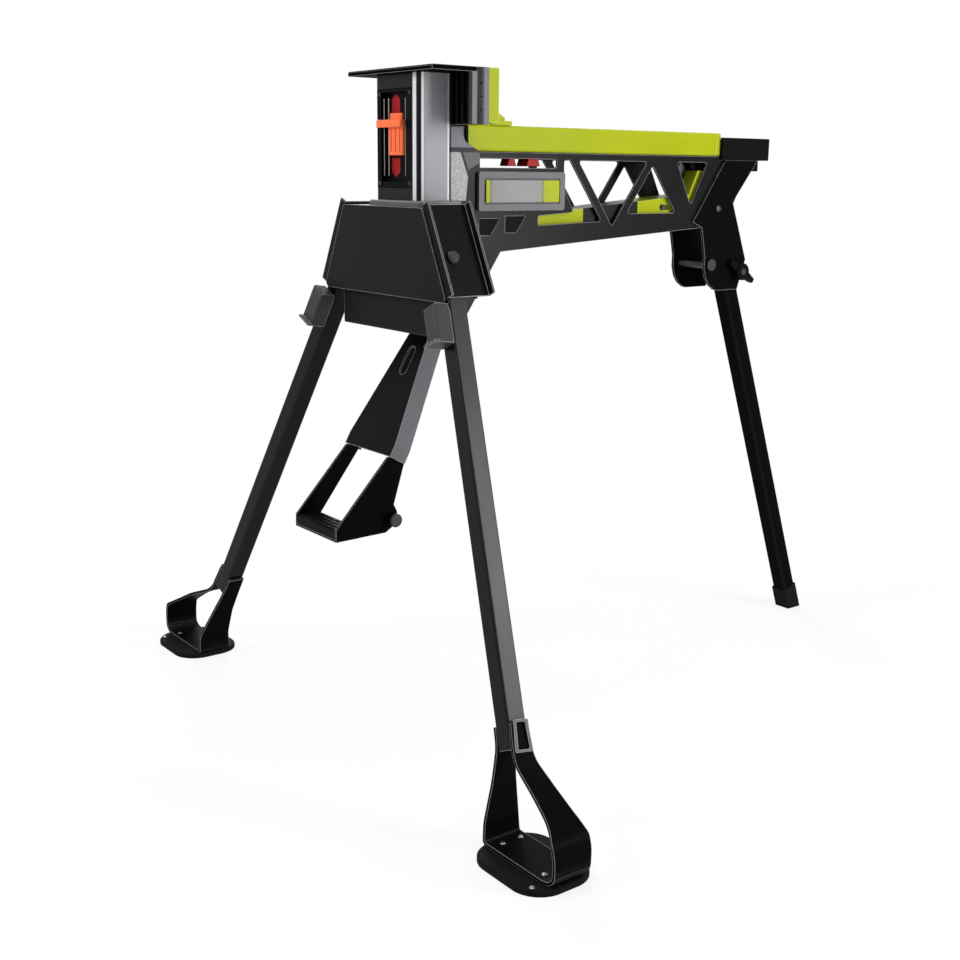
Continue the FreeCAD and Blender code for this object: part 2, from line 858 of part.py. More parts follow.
def head_side(name, side):
    """One cheek beside the beam, behind the column: upright at its foot and flared over the truss."""
    body = piece("head_side_" + name)
    front = "(column_back + fit_gap + plate_sheet)"
    outline_shares = [(0, 0), (0.52, 0), (0.61, 0.42), (1, 0.52), (1, 0.67), (0.5, 0.8), (0.3, 1),
                      (0, 1)]
    corners = [(f"{front} + cheek_deep * {deep}", f"column_foot + (cheek_top - column_foot) * {up}")
               for deep, up in outline_shares]
    edges = ["cheek_half - cheek_sheet", "cheek_half"]
    if side < 0:
        edges = ["-cheek_half", "cheek_sheet - cheek_half"]
    slab(body, "YZ", corners, edges[0], edges[1])
    return in_bench(body)


def clamp_beam():
    """The square-cornered beam tube that carries the moving jaw."""
    body = piece("clamp_beam")
    slab(body, "XZ", about("beam_half", "beam_low", BEAM_TOP), "beam_front", "beam_back")
    finish_edges(body, "Fillet", "beam_corner", lambda edge: runs_along(edge, "y"))
    slab(body, "XZ",
         about("beam_half - beam_wall", "beam_low + beam_wall", BEAM_TOP + " - beam_wall"),
         "beam_front - over_run", "beam_back + over_run", cut=True)
    return in_bench(body)


def plug_box(label, front, back, wall, cut_from):
    """A tube that slides into the beam's end, open at one or both ends."""
    body = piece(label)
    low = "beam_low + beam_wall + fit_gap"
    high = BEAM_TOP + " - beam_wall - fit_gap"
    half = "beam_half - beam_wall - fit_gap"
    slab(body, "XZ", about(half, low, high), front, back)
    slab(body, "XZ", about(f"{half} - {wall}", f"{low} + {wall}", f"{high} - {wall}"),
         cut_from, back + " + over_run", cut=True)
    return body


def beam_carrier():
    """The grey carrier tube in the beam's front end."""
    return in_bench(plug_box("beam_carrier", "carrier_front", "beam_front + carrier_plug",
                             "carrier_wall", "carrier_front - over_run"))


def beam_buffer():
    """The buffer ring between the carrier and the beam tube."""
    body = piece("beam_buffer")
    half = "beam_half - beam_wall"
    slab(body, "XZ", about("beam_half", "beam_low", BEAM_TOP), "beam_front - buffer_long",
         "beam_front")
    finish_edges(body, "Fillet", "beam_corner", lambda edge: runs_along(edge, "y"))
    slab(body, "XZ", about(half, "beam_low + beam_wall", BEAM_TOP + " - beam_wall"),
         "beam_front - buffer_long - over_run", "beam_front + over_run", cut=True)
    return in_bench(body)


def beam_end_cap():
    """The moulded cap in the beam's rear end, its plug hollow."""
    body = piece("beam_end_cap")
    slab(body, "XZ", about("beam_half", "beam_low", BEAM_TOP), "beam_back",
         "beam_back + end_cap_long")
    finish_edges(body, "Fillet", "beam_corner", lambda edge: runs_along(edge, "y"))
    half = "beam_half - beam_wall - fit_gap"
    low = "beam_low + beam_wall + fit_gap"
    high = BEAM_TOP + " - beam_wall - fit_gap"
    slab(body, "XZ", about(half, low, high), "beam_back - end_plug_long",
         "beam_back + end_cap_long / 2")
    slab(body, "XZ",
         about(f"{half} - end_plug_wall", f"{low} + end_plug_wall", f"{high} - end_plug_wall"),
         "beam_back - end_plug_long - over_run", "beam_back", cut=True)
    return in_bench(body)


def drive_rack():
    """The rack under the beam: saw teeth that face rearwards, one cut and repeated."""
    body = piece("drive_rack")
    low = "(beam_low - rack_tall)"
    slab(body, "XZ", about("rack_half", low, "beam_low"), "rack_front", "rack_back")
    root = "(rack_front + tooth_pitch)"
    notch = slab(body, "YZ",
                 [(root, low), (root + " + tooth_pitch * 0.85", low),
                  (root, low + " + tooth_deep")],
                 "-rack_half - over_run", "rack_half + over_run", cut=True)
    doc.recompute()
    repeat = body.newObject("PartDesign::LinearPattern", "rack_teeth")
    repeat.Originals = [notch]
    axis = next(item for item in body.Origin.OriginFeatures if item.Role == "Y_Axis")
    repeat.Direction = (axis, [""])
    count = int((size("rack_back") - size("rack_front")) / size("tooth_pitch")) - 1
    repeat.Occurrences = count
    repeat.setExpression("Length", linked(f"tooth_pitch * {count - 1}"))
    body.Tip = repeat
    return in_bench(body)


NODE_UP = "(truss_top - chord_top_tall / 2)"
STRUT_RUN = f"(bay_pitch / 2 / ({NODE_UP} - strut_foot))"
STRUT_SIDE = f"(strut_wide / 2 * sqrt(1 + {STRUT_RUN} * {STRUT_RUN}))"


def strut_edge(up):
    """How far from a top node a strut's near edge has run at a height."""
    return f"({STRUT_RUN} * ({NODE_UP} - ({up})) - {STRUT_SIDE})"


def truss(name, side):
    """One side plate of the spine: a zigzag of struts between two chords, deep at the head."""
    body = piece("truss_" + name)
    edges = ["truss_half - truss_sheet", "truss_half"]
    if side < 0:
        edges = ["-truss_half", "truss_sheet - truss_half"]
    faces = (f"{edges[0]} - over_run", f"{edges[1]} + over_run")
    front = "(cross_deep - cross_ahead)"
    riser = "(column_back + fit_gap + plate_sheet)"
    slab(body, "YZ",
         [(front, "truss_foot"), ("truss_foot_back", "truss_foot"),
          ("truss_heel", "chord_low_up + chord_low_rise * (truss_heel - chord_low_front)"),
          ("saddle_front", "chord_low_up + chord_low_rise * (saddle_front - chord_low_front)"),
          ("(saddle_front + truss_end) / 2", "truss_end_low"),
          ("truss_end", "yoke_top"), ("saddle_front - fit_gap", "yoke_top"),
          ("saddle_front - fit_gap", "truss_top"), (riser, "truss_top"), (riser, DECK_LOW),
          (front, DECK_LOW)],
         edges[0], edges[1])
    up = "(truss_top - chord_top_tall)"
    foot = "(bay_start + bay_pitch / 2)"
    reach = f"({STRUT_RUN} * ({up} - strut_foot) - {STRUT_SIDE})"
    node = "(bay_start + bay_pitch)"
    low = chord_top(node)
    first_low = chord_top("bay_start")
    slot_low = chord_top("bay_slot_front")
    bays = [
        [("bay_front", up), ("bay_front", "bay_step"), ("bay_sill_back", first_low + " + bay_slot_tall"),
         ("bay_slot_front", slot_low + " + bay_slot_tall"), ("bay_slot_front", slot_low),
         ("bay_start + " + strut_edge(first_low), first_low), ("bay_start + " + strut_edge(up), up)],
        [(f"{foot} - {reach}", up), (f"{foot} + {reach}", up),
         (foot, f"strut_foot + {STRUT_SIDE} / {STRUT_RUN}")],
        [(f"{node} - {strut_edge(low)}", low), (f"{node} + {strut_edge(low)}", low),
         (node, f"{NODE_UP} - {STRUT_SIDE} / {STRUT_RUN}")],
        [("rear_bay - rear_bay_half", up), ("rear_bay + rear_bay_half", up),
         ("rear_bay", "rear_bay_low")]]
    for corners in bays:
        slab(body, "YZ", corners, faces[0], faces[1], cut=True)
    slab(body, "YZ", rectangle("sight_front", "sight_low", "sight_back", "sight_high"),
         faces[0], faces[1], cut=True)
    ends = (size("bay_slot_front") - size("fit_gap"), size("saddle_front") - size("bay_corner"))
    roof = size("truss_top") - size("chord_top_tall") + size("fit_gap")
    floor = size("strut_foot") + size("bay_corner")
    finish_edges(body, "Fillet", "bay_corner",
                 lambda edge: runs_along(edge, "x") and ends[0] < middle(edge).y < ends[1]
                 and floor < middle(edge).z < roof)
    recess = ["truss_half - recess_deep", "truss_half + over_run"]
    if side < 0:
        recess = ["-truss_half - over_run", "recess_deep - truss_half"]
    for number in range(2):
        left = f"(recess_front + recess_pitch * {number})"
        base = f"(recess_low + chord_low_rise * recess_pitch * {number})"
        slab(body, "YZ",
             [(left, base), (f"{left} + recess_wide - recess_lean", base),
              (f"{left} + recess_wide", f"{base} + recess_tall"), (left, f"{base} + recess_tall")],
             recess[0], recess[1], cut=True)
    return in_bench(body)


def side_panel():
    """The raised panel on the right side plate: a rim round a flat field."""
    body = piece("side_panel")
    slab(body, "YZ",
         rectangle("panel_front", "panel_low", "panel_front + panel_long",
                   "panel_low + panel_tall"),
         "truss_half", "truss_half + panel_rim")
    finish_edges(body, "Fillet", "panel_corner", lambda edge: runs_along(edge, "x"))
    slab(body, "YZ",
         rectangle("panel_front + panel_rim_wide", "panel_low + panel_rim_wide",
                   "panel_front + panel_long - panel_rim_wide",
                   "panel_low + panel_tall - panel_rim_wide"),
         "truss_half + panel_rim - panel_field", "truss_half + panel_rim + over_run", cut=True)
    slab(body, "YZ",
         rectangle("panel_front + panel_rim_wide * 1.5", "panel_low + panel_rim_wide * 1.5",
                   "panel_front + panel_long - panel_rim_wide * 1.5",
                   "panel_low + panel_tall - panel_rim_wide * 1.5"),
         "truss_half + panel_rim - panel_field * 1.5", "truss_half + panel_rim + panel_field / 2")
    return in_bench(body)


def pull_channel():
    """The inverted channel that the pedal pulls forwards, with the pawl's block at its rear."""
    body = piece("pull_channel")
    rear_low = channel_top("channel_back") + " - channel_tall"
    slab(body, "YZ",
         [("channel_front", "channel_ear_low"),
          ("channel_front + channel_ear_long", "channel_ear_low"),
          ("channel_front + channel_ear_long * 1.5",
           channel_top("channel_front") + " - channel_tall"),
          ("channel_back", rear_low), ("channel_back", "block_top"),
          ("block_front + block_lean", "block_top"), ("block_front", channel_top("block_front")),
          ("channel_front", channel_top("channel_front"))],
         "-channel_half", "channel_half")
    ceiling = " - channel_sheet"
    slab(body, "YZ",
         [("channel_front - over_run", "channel_ear_low - over_run"),
          ("channel_back - channel_sheet", "channel_ear_low - over_run"),
          ("channel_back - channel_sheet", "block_top + over_run"),
          ("block_front + block_lean + channel_sheet", "block_top + over_run"),
          ("block_front + channel_sheet", channel_top("block_front") + ceiling),
          ("channel_front - over_run", channel_top("channel_front") + ceiling)],
         "-" + CHANNEL_IN, CHANNEL_IN, cut=True)
    slab(body, "YZ",
         rectangle("block_front - over_run", channel_top("block_front") + " + channel_sheet",
                   "block_front + block_lean + channel_sheet + over_run", "block_top + over_run"),
         "-pawl_inset * 2 - pawl_wide", "0", cut=True)
    slot = "(pin_radius + slot_gap)"
    wide = ("-channel_half - over_run", "channel_half + over_run")
    for back in ("front_pin_back", "rear_pin_back"):
        oblong(body, "YZ", back, f"{back} + pull_stroke",
               f"({channel_top(back)} - channel_tall / 2)", slot, wide[0], wide[1])
    oblong(body, "YZ", "hold_back", "hold_back + pull_stroke", "hold_up", slot, wide[0], "0")
    pin = ("(pedal_back + horn_back)", "(pedal_up + horn_up)")
    slab(body, "YZ",
         rectangle(f"{pin[0]} - {slot}", f"{pin[1]} - {slot} - slot_gap", f"{pin[0]} + {slot}",
                   f"{pin[1]} + {slot} + pin_radius / 2"),
         wide[0], wide[1], cut=True)
    disc(body, "YZ", "drive_back", "drive_up", "pin_radius", "0", wide[1], cut=True)
    return in_bench(body)


def pawl(label, back, up, left):
    """A pawl: a round eye at its pin and a nose that leans up and forwards to the rack."""
    body = piece(label)
    tip = "(beam_low - rack_tall - pawl_drop)"
    right = f"{left} + pawl_wide"
    disc(body, "YZ", back, up, "pawl_eye", left, right)
    slab(body, "YZ",
         [(f"{back} + pawl_eye * 0.8", f"{up} + pawl_eye * 0.5"),
          (f"{back} - pawl_reach + pawl_eye", f"{tip} - pawl_eye * 0.4"),
          (f"{back} - pawl_reach", tip),
          (f"{back} - pawl_reach - pawl_eye * 0.3", f"{tip} - pawl_eye"),
          (f"{back} - pawl_eye * 0.8", f"{up} - pawl_eye * 0.5")],
         left, right)
    disc(body, "YZ", back, up, "pin_radius + fit_gap / 2", f"{left} - over_run",
         f"{right} + over_run", cut=True)
    return in_bench(body)


def pawl_pin(label, back, up, low, high):
    """The pin of one pawl, held at one end only, so that the other pawl passes it."""
    body = piece(label)
    disc(body, "YZ", back, up, "pin_radius", low, high)
    return in_bench(body)


def spine_pins():
    """The plain pins of the spine: two that the channel slides on and the pedal's hinge pin."""
    places = [(back, f"{channel_top(back)} - channel_tall / 2")
              for back in ("front_pin_back", "rear_pin_back")]
    places.append(("pedal_back", "pedal_up"))
    pins = [primitive("Cylinder", "spine_pin_%d" % number,
                      ("-" + TRUSS_IN, back + " - column_ahead", up), ALONG_X,
                      Radius="pin_radius", Height=f"{TRUSS_IN} * 2")
            for number, (back, up) in enumerate(places)]
    pins.append(pawl_pin("hold_pin", "hold_back", "hold_up", "-" + TRUSS_IN, "-pawl_inset / 2"))
    return group("spine_pins", pins)


def guide_blocks():
    """Moulded blocks inside the side plates that the beam rests on, two pairs behind the head."""
    blocks = []
    high = "(beam_low - fit_gap)"
    for number in range(2):
        front = f"(guide_front + guide_pitch * {number})"
        for edges in (["rack_half + pawl_inset", TRUSS_IN], ["-" + TRUSS_IN, "-rack_half - pawl_inset"]):
            body = piece("guide_block_%d" % len(blocks))
            slab(body, "XZ", rectangle(edges[0], high + " - guide_tall", edges[1], high),
                 front, front + " + guide_long")
            finish_edges(body, "Fillet", "guide_edge",
                         lambda edge: runs_along(edge, "x")
                         and middle(edge).z > size("beam_low") - size("guide_edge"))
            blocks.append(in_bench(body))
    return group("guide_blocks", blocks)


def front_leg(name, side):
    """A front leg of square tube, holed for its pivot bolt, with a lug ahead for its latch."""
    body = piece("front_leg_" + name)
    half = "leg_tube / 2"
    slab(body, "XY", about(half, f"-{half}", half), f"-{LEG_LONG}", "leg_head")
    finish_edges(body, "Fillet", "leg_corner", lambda edge: runs_along(edge, "z"))
    slab(body, "XY", about(f"{half} - leg_wall", f"leg_wall - {half}", f"{half} - leg_wall"),
         f"-{LEG_LONG} - over_run", "leg_head + over_run", cut=True)
    disc(body, "YZ", "0", "0", f"{BOLT_RADIUS} + fit_gap / 2", f"-{half} - over_run",
         f"{half} + over_run", cut=True)
    ahead, up = LATCH_PIN
    slab(body, "YZ",
         rectangle(ahead, f"{up} - latch_lug_radius", f"leg_wall / 2 - {half}",
                   f"{up} + latch_lug_radius"),
         "-latch_lug_half", "latch_lug_half")
    disc(body, "YZ", ahead, up, "latch_lug_radius", "-latch_lug_half", "latch_lug_half")
    disc(body, "YZ", ahead, up, "latch_pin_radius + fit_gap / 2", "-latch_lug_half - over_run",
         "latch_lug_half + over_run", cut=True)
    return in_leg(body, side)


def leg_bolts():
    """The two leg pivots: a shank through leg and bracket, a domed head outside, a nut inside."""
    bolts = []
    for name, side in SIDES.items():
        body = doc.addObject("PartDesign::Body", "leg_bolt_" + name)
        inner = "-(leg_tube / 2 + leg_gap)"
        spans = [(BOLT_RADIUS, inner, WEB_OUT + " + pivot_head_tall / 2"),
                 ("pivot_head", WEB_OUT, WEB_OUT + " + pivot_head_tall"),
                 ("pivot_head", inner + " - pivot_nut_tall", inner)]
        for radius, low, high in spans:
            ends = (low, high) if side > 0 else (f"-({high})", f"-({low})")
            disc(body, "YZ", "0", "0", radius, ends[0], ends[1])
        far = size("leg_tube") / 2 + size("pivot_head_tall")
        finish_edges(body, "Chamfer", "pivot_head_tall / 2",
                     lambda edge: abs(middle(edge).x) > far and middle(edge).x * side > 0
                     and edge.Length > size("pivot_head"))
        bolts.append(in_leg(body, side, leaning=False))
    return group("leg_bolts", bolts)


def bent_strip(points, thick):
    """A strip's edge-on outline: a path of points and the same path moved over by the thickness.

    Each corner moves along the bisector of its two runs, so that the strip keeps its thickness.
    """
    path = [FreeCAD.Vector(across, 0, up) for across, up in points]
    moved = []
    for number, point in enumerate(path):
        runs = []
        if number:
            runs.append((point - path[number - 1]).normalize())
        if number < len(path) - 1:
            runs.append((path[number + 1] - point).normalize())
        sides = [FreeCAD.Vector(-way.z, 0, way.x) for way in runs]
        mean = sides[0] + sides[-1]
        mean.normalize()
        moved.append(point + mean * (thick / mean.dot(sides[0])))
    return path + moved[::-1]


def foot_strap(name, side):
    """The stirrup of steel strap under a front leg, bent round from one face of it to the other."""
    sheet = size("strap_sheet")
    splay = math.radians(size("leg_splay"))
    half = size("leg_tube") / 2 / math.cos(splay)
    lift = sheet / math.cos(splay)

    def leg_face(up, way):
        middle_out = size("pivot_out") + (size("pivot_up") - up) * math.tan(splay)
        return middle_out + way * (half + lift)

    def leg_edge(up, way):
        run_back = (size("pivot_up") - up) * math.tan(math.radians(size("leg_lean")))
        middle_back = -size("pivot_ahead") - run_back / math.cos(splay)
        return middle_back + way * (size("leg_tube") - size("strap_sheet")) / 2

    low = size("sole_tall")
    in_top = size("strap_in_top")
    in_end = in_top + size("strap_in_tab")
    out_top = size("strap_out_top")
    out_end = out_top + size("strap_out_tab")
    inner = size("sole_in") - size("strap_over_in")
    outer = size("sole_out") + size("strap_over_out")
    points = [(leg_face(in_end, -1), in_end), (leg_face(in_top, -1), in_top),
              (inner, size("strap_in_bend")), (inner + size("strap_low_bend"), low),
              (outer, low), (outer, size("strap_out_bend")), (leg_face(out_top, 1), out_top),
              (leg_face(out_end, 1), out_end)]
    outline = bent_strip(points, sheet)
    mirrored = [FreeCAD.Vector(side * point.x, 0, point.z) for point in outline]
    face = Part.Face(Part.makePolygon(mirrored + mirrored[:1]))
    front = -size("strap_front")
    solid = face.extrude(FreeCAD.Vector(0, leg_edge(out_end, 1) - front, 0))
    for number, radius in ((4, size("strap_corner")), (11, size("strap_corner") - sheet)):
        spot = mirrored[number]
        chosen = [edge for edge in solid.Edges if runs_along(edge, "y")
                  and (middle(edge) - spot).cross(FreeCAD.Vector(0, 1, 0)).Length < size("fit_gap")]
        solid = solid.makeFillet(radius, chosen)
    bend = size("strap_out_bend")
    back = size("strap_wide")
    taper = [(0, 0), (0, bend), (leg_edge(out_top, -1) - front, out_top),
             (leg_edge(out_end, -1) - front, out_end), (leg_edge(out_end, 1) - front, out_end),
             (leg_edge(out_top, 1) - front, out_top), (back, bend), (back, 0)]
    reach = outer + sheet
    wall = [FreeCAD.Vector(-reach, along, up) for along, up in taper]
    keep = Part.Face(Part.makePolygon(wall + wall[:1])).extrude(FreeCAD.Vector(reach * 2, 0, 0))
    solid = solid.common(keep).Solids[0]
    item = doc.addObject("Part::Feature", "foot_strap_" + name)
    item.Label = "foot_strap_" + name
    item.Shape = solid
    item.Placement = FreeCAD.Placement(
        FreeCAD.Vector(0, -size("strap_front") - size("column_ahead"), 0), FreeCAD.Rotation())
    return item


def foot_sole(name, side):
    """The rubber sole, a rounded block whose tongue runs out ahead of the strap."""
    body = piece("foot_sole_" + name)
    edges = ["sole_in", "sole_out"] if side > 0 else ["-sole_out", "-sole_in"]
    slab(body, "XY", rectangle(edges[0], "-sole_front", edges[1], "-sole_back"), "0", "sole_tall")
    finish_edges(body, "Fillet", "min(sole_corner; (sole_out - sole_in) / 2 - fit_gap)",
                 lambda edge: runs_along(edge, "z"))
    finish_edges(body, "Chamfer", "sole_edge",
                 lambda edge: middle(edge).z > size("sole_tall") - size("fit_gap"))
    return in_bench(body)


def foot_fixings(name, side):
    """A foot's four rivets and the keeper that clasps the strap's outer end to the leg."""
    spots = [("sole_in + sole_corner / 2", "strap_front - strap_wide * 0.3", " + strap_sheet"),
             ("sole_in + sole_corner / 2", "strap_front - strap_wide * 0.8", " + strap_sheet"),
             ("sole_out - sole_corner * 0.7", "strap_front - strap_wide * 0.2", " + strap_sheet"),
             ("sole_out - sole_corner * 0.5", "strap_front + sole_corner * 0.35", "")]
    items = []
    for number, (across, ahead, lift) in enumerate(spots):
        items.append(primitive("Cylinder", "foot_rivet_%s_%d" % (name, number),
                               (f"{side} * ({across})", f"-({ahead}) - column_ahead",
                                "sole_tall" + lift),
                               Radius="rivet_radius", Height="rivet_tall"))
    keeper = doc.addObject("PartDesign::Body", "leg_keeper_" + name)
    inner = "(leg_tube / 2 + strap_sheet + fit_gap)"
    cheek = "(leg_tube / 2 + fit_gap)"
    outline = [("-leg_tube / 4", f"-{cheek} - keeper_sheet"),
               (inner + " + keeper_sheet", f"-{cheek} - keeper_sheet"),
               (inner + " + keeper_sheet", f"{cheek} + keeper_sheet"),
               ("-leg_tube / 4", f"{cheek} + keeper_sheet"), ("-leg_tube / 4", cheek),
               (inner, cheek), (inner, f"-{cheek}"), ("-leg_tube / 4", f"-{cheek}")]
    slab(keeper, "XY", [(f"{side} * ({across})", along) for across, along in outline],
         f"keeper_up - {LEG_LONG}", f"keeper_up - {LEG_LONG} + keeper_long")
    items.append(in_leg(keeper, side))
    return group("foot_fixings_" + name, items)


def leg_latch(name, side):
    """The folding latch on a front leg: a hollow cap with a finger lip, and the pin it turns on."""
    body = piece("latch_cap_" + name)
    half = "(leg_tube / 2 + fit_gap)"
    face = "(leg_tube / 2 + run_gap)"
    slab(body, "XY", rectangle(f"-{half}", f"-{face} - latch_deep", half, f"-{face}"),
         "-latch_down - latch_long", "-latch_down")
    front = -size("leg_tube") / 2 - size("run_gap") - size("latch_deep")
    finish_edges(body, "Fillet", "latch_edge",
                 lambda edge: middle(edge).y < front + size("fit_gap"))
    slab(body, "XY",
         rectangle(f"latch_wall - {half}", f"-{face} - latch_deep + latch_wall",
                   f"{half} - latch_wall", f"-{face} + over_run"),
         "-latch_down - latch_long + latch_wall", "-latch_down - latch_wall", cut=True)
    slab(body, "XY",
         rectangle(f"-{half}", f"-{face} - latch_deep - latch_lip", half,
                   f"-{face} - latch_deep + latch_wall"),
         "-latch_down - latch_long", "-latch_down - latch_long + latch_wall")
    slab(body, "YZ",
         [(f"-{face}", "-latch_down - latch_relief_tall"), (f"-{face}", "-latch_down"),
          (f"-{face} - latch_relief", "-latch_down")],
         f"-{half} - over_run", f"{half} + over_run", cut=True)
    disc(body, "YZ", *LATCH_PIN, "latch_pin_radius", f"-{half} - over_run", f"{half} + over_run",
         cut=True)
    pin = piece("latch_pin_" + name)
    disc(pin, "YZ", *LATCH_PIN, "latch_pin_radius", f"-{half}", half)
    return group("leg_latch_" + name, [in_leg(body, side), in_leg(pin, side)])


def pedal_arm():
    """The pedal's arm: a channel that widens downwards, with two horns over its hinge."""
    body = piece("pedal_arm")
    slab(body, "XZ",
         [("-pedal_top_half", "-pedal_top_down"), ("-pedal_low_half", "-pedal_wide_down"),
          ("-pedal_low_half", "-pedal_web_down"), ("pedal_low_half", "-pedal_web_down"),
          ("pedal_low_half", "-pedal_wide_down"), ("pedal_top_half", "-pedal_top_down")],
         "-pedal_ahead", "pedal_deep - pedal_ahead")
    spread = "((pedal_low_half - pedal_top_half) / (pedal_wide_down - pedal_top_down))"
    inner_top = f"(pedal_top_half - pedal_sheet - {spread} * over_run)"
    slab(body, "XZ",
         [(f"-{inner_top}", "over_run - pedal_top_down"),
          ("pedal_sheet - pedal_low_half", "-pedal_wide_down"),
          ("pedal_sheet - pedal_low_half", "-pedal_web_down - over_run"),
          ("pedal_low_half - pedal_sheet", "-pedal_web_down - over_run"),
          ("pedal_low_half - pedal_sheet", "-pedal_wide_down"),
          (inner_top, "over_run - pedal_top_down")],
         "pedal_sheet - pedal_ahead", "pedal_deep - pedal_ahead + over_run", cut=True)
    slab(body, "XZ",
         about("pedal_slot_half", "-pedal_slot_down - pedal_slot_long", "-pedal_slot_down"),
         "-pedal_ahead - over_run", "pedal_sheet - pedal_ahead + over_run", cut=True)
    low = -size("pedal_slot_down") + size("fit_gap")
    finish_edges(body, "Fillet", "pedal_slot_half - fit_gap",
                 lambda edge: runs_along(edge, "y") and middle(edge).z < low
                 and abs(middle(edge).x) < size("pedal_slot_half") + size("fit_gap"))
    eye = ("(horn_back * cos(pedal_lean) - horn_up * sin(pedal_lean))",
           "(horn_back * sin(pedal_lean) + horn_up * cos(pedal_lean))")
    for left in ("-pedal_top_half", "pedal_top_half - pedal_sheet"):
        right = left + " + pedal_sheet"
        slab(body, "YZ",
             [("-pedal_ahead", "-pedal_top_down - pedal_sheet"),
              ("pedal_deep - pedal_ahead", "-pedal_top_down - pedal_sheet"),
              ("pedal_deep - pedal_ahead", "-pedal_top_down / 2"),
              (f"{eye[0]} + horn_eye", eye[1]), (f"{eye[0]} + horn_eye / 2", eye[1] + " + horn_eye"),
              (f"{eye[0]} - horn_eye / 2", eye[1] + " + horn_eye"), (f"{eye[0]} - horn_eye", eye[1]),
              ("-pedal_ahead - horn_eye", "0")],
             left, right)
        disc(body, "YZ", "0", "0", "pin_radius + fit_gap / 2", f"{left} - over_run",
             f"{right} + over_run", cut=True)
        disc(body, "YZ", eye[0], eye[1], "pin_radius", f"{left} - over_run",
             f"{right} + over_run", cut=True)
    return in_pedal(body)


def horn_pin():
    """The pin across the pedal's horns that works in the pull channel's upright slot."""
    body = piece("horn_pin")
    disc(body, "YZ", "(horn_back * cos(pedal_lean) - horn_up * sin(pedal_lean))",
         "(horn_back * sin(pedal_lean) + horn_up * cos(pedal_lean))", "pin_radius",
         "-channel_half", "channel_half")
    return in_pedal(body)


def pedal_stirrup():
    """The pedal's foot loop: a narrow left cheek, a right cheek with a heel and a bar below."""
    body = piece("pedal_stirrup")
    left_shares = [(0, 0), (0, 0.112), (-0.025, 0.121), (-0.205, 0.902), (-0.15, 1),
                   (0.05, 0.882), (0.022, 0.834), (0.131, 0)]
    right_shares = [(0, 0), (0, 0.112), (-0.025, 0.121), (-0.205, 0.902), (-0.15, 1),
                    (0.292, 0.736), (0.371, 0.596), (0.307, 0.513), (0.248, 0.476),
                    (0.164, 0.094), (0.145, 0)]
    start = "(pedal_sheet - pedal_ahead + fit_gap)"
    inner = "(pedal_low_half - pedal_sheet)"
    for shares, left in ((left_shares, f"-{inner}"), (right_shares, f"{inner} - pedal_sheet")):
        slab(body, "YZ",
             [(f"{start} + stirrup_tall * {deep}", f"-stirrup_down - stirrup_tall * {down}")
              for deep, down in shares],
             left, left + " + pedal_sheet")
        if left == f"-{inner}":
            slab(body, "YZ",
                 [(f"{start} + stirrup_tall * {deep}", f"-stirrup_down - stirrup_tall * {down}")
                  for deep, down in ((-0.15, 1), (0.05, 0.882), (0.04, 0.865), (-0.16, 0.983))],
                 left, inner)
    return in_pedal(body)


def pedal_tread():
    """The ribbed tread on the stirrup's bar."""
    body = piece("pedal_tread")
    half = "(pedal_low_half - pedal_sheet * 2 - fit_gap)"
    slab(body, "YZ", rectangle("-tread_front", "tread_low", "tread_deep - tread_front",
                               "tread_low + tread_tall"),
         f"-{half}", half)
    for number in range(4):
        front = f"(-tread_front + tread_ridge + tread_pitch * {number})"
        slab(body, "YZ",
             rectangle(front, "tread_low + tread_tall - tread_ridge", front + " + tread_pitch / 2",
                       "tread_low + tread_tall + tread_ridge"),
             f"-{half}", half)
    return in_bench(body)


def pedal_peg():
    """The stub on the heel of the right cheek, by which the pedal is held up."""
    body = piece("pedal_peg")
    disc(body, "YZ", "stirrup_tall * 0.29", "-stirrup_down - stirrup_tall * 0.6", "peg_radius",
         "pedal_low_half - pedal_sheet", "pedal_low_half - pedal_sheet + peg_long")
    finish_edges(body, "Chamfer", "collar_edge",
                 lambda edge: middle(edge).x > size("pedal_low_half"))
    return in_pedal(body)


def rear_yoke(name, side):
    """One cheek of the rear bracket, from the spine down to the rear leg's hinge."""
    body = piece("rear_yoke_" + name)
    edges = ["truss_half", YOKE_OUT]
    if side < 0:
        edges = [f"-{YOKE_OUT}", "-truss_half"]
    outline_shares = [(0.433, 1), (0, 0.492), (0.133, 0.23), (0.227, 0.11), (0.373, 0.035),
                      (0.52, 0.01), (0.86, 0), (0.9, 0.25), (0.66, 0.69), (0.955, 1)]
    slab(body, "YZ",
         [(f"yoke_front + yoke_deep * {deep}", f"yoke_low + yoke_tall * {up}")
          for deep, up in outline_shares],
         edges[0], edges[1])
    faces = (f"{edges[0]} - over_run", f"{edges[1]} + over_run")
    disc(body, "YZ", "rear_back", "rear_up", "rear_bolt / 2", faces[0], faces[1], cut=True)
    disc(body, "YZ", "stop_back", "stop_up", "stop_radius", faces[0], faces[1], cut=True)
    outer = side * (size("truss_half") + size("yoke_sheet"))
    finish_edges(body, "Chamfer", "yoke_edge",
                 lambda edge: abs(middle(edge).x - outer) < size("fit_gap")
                 and edge.Length > size("yoke_sheet") * math.pi)
    return in_bench(body)


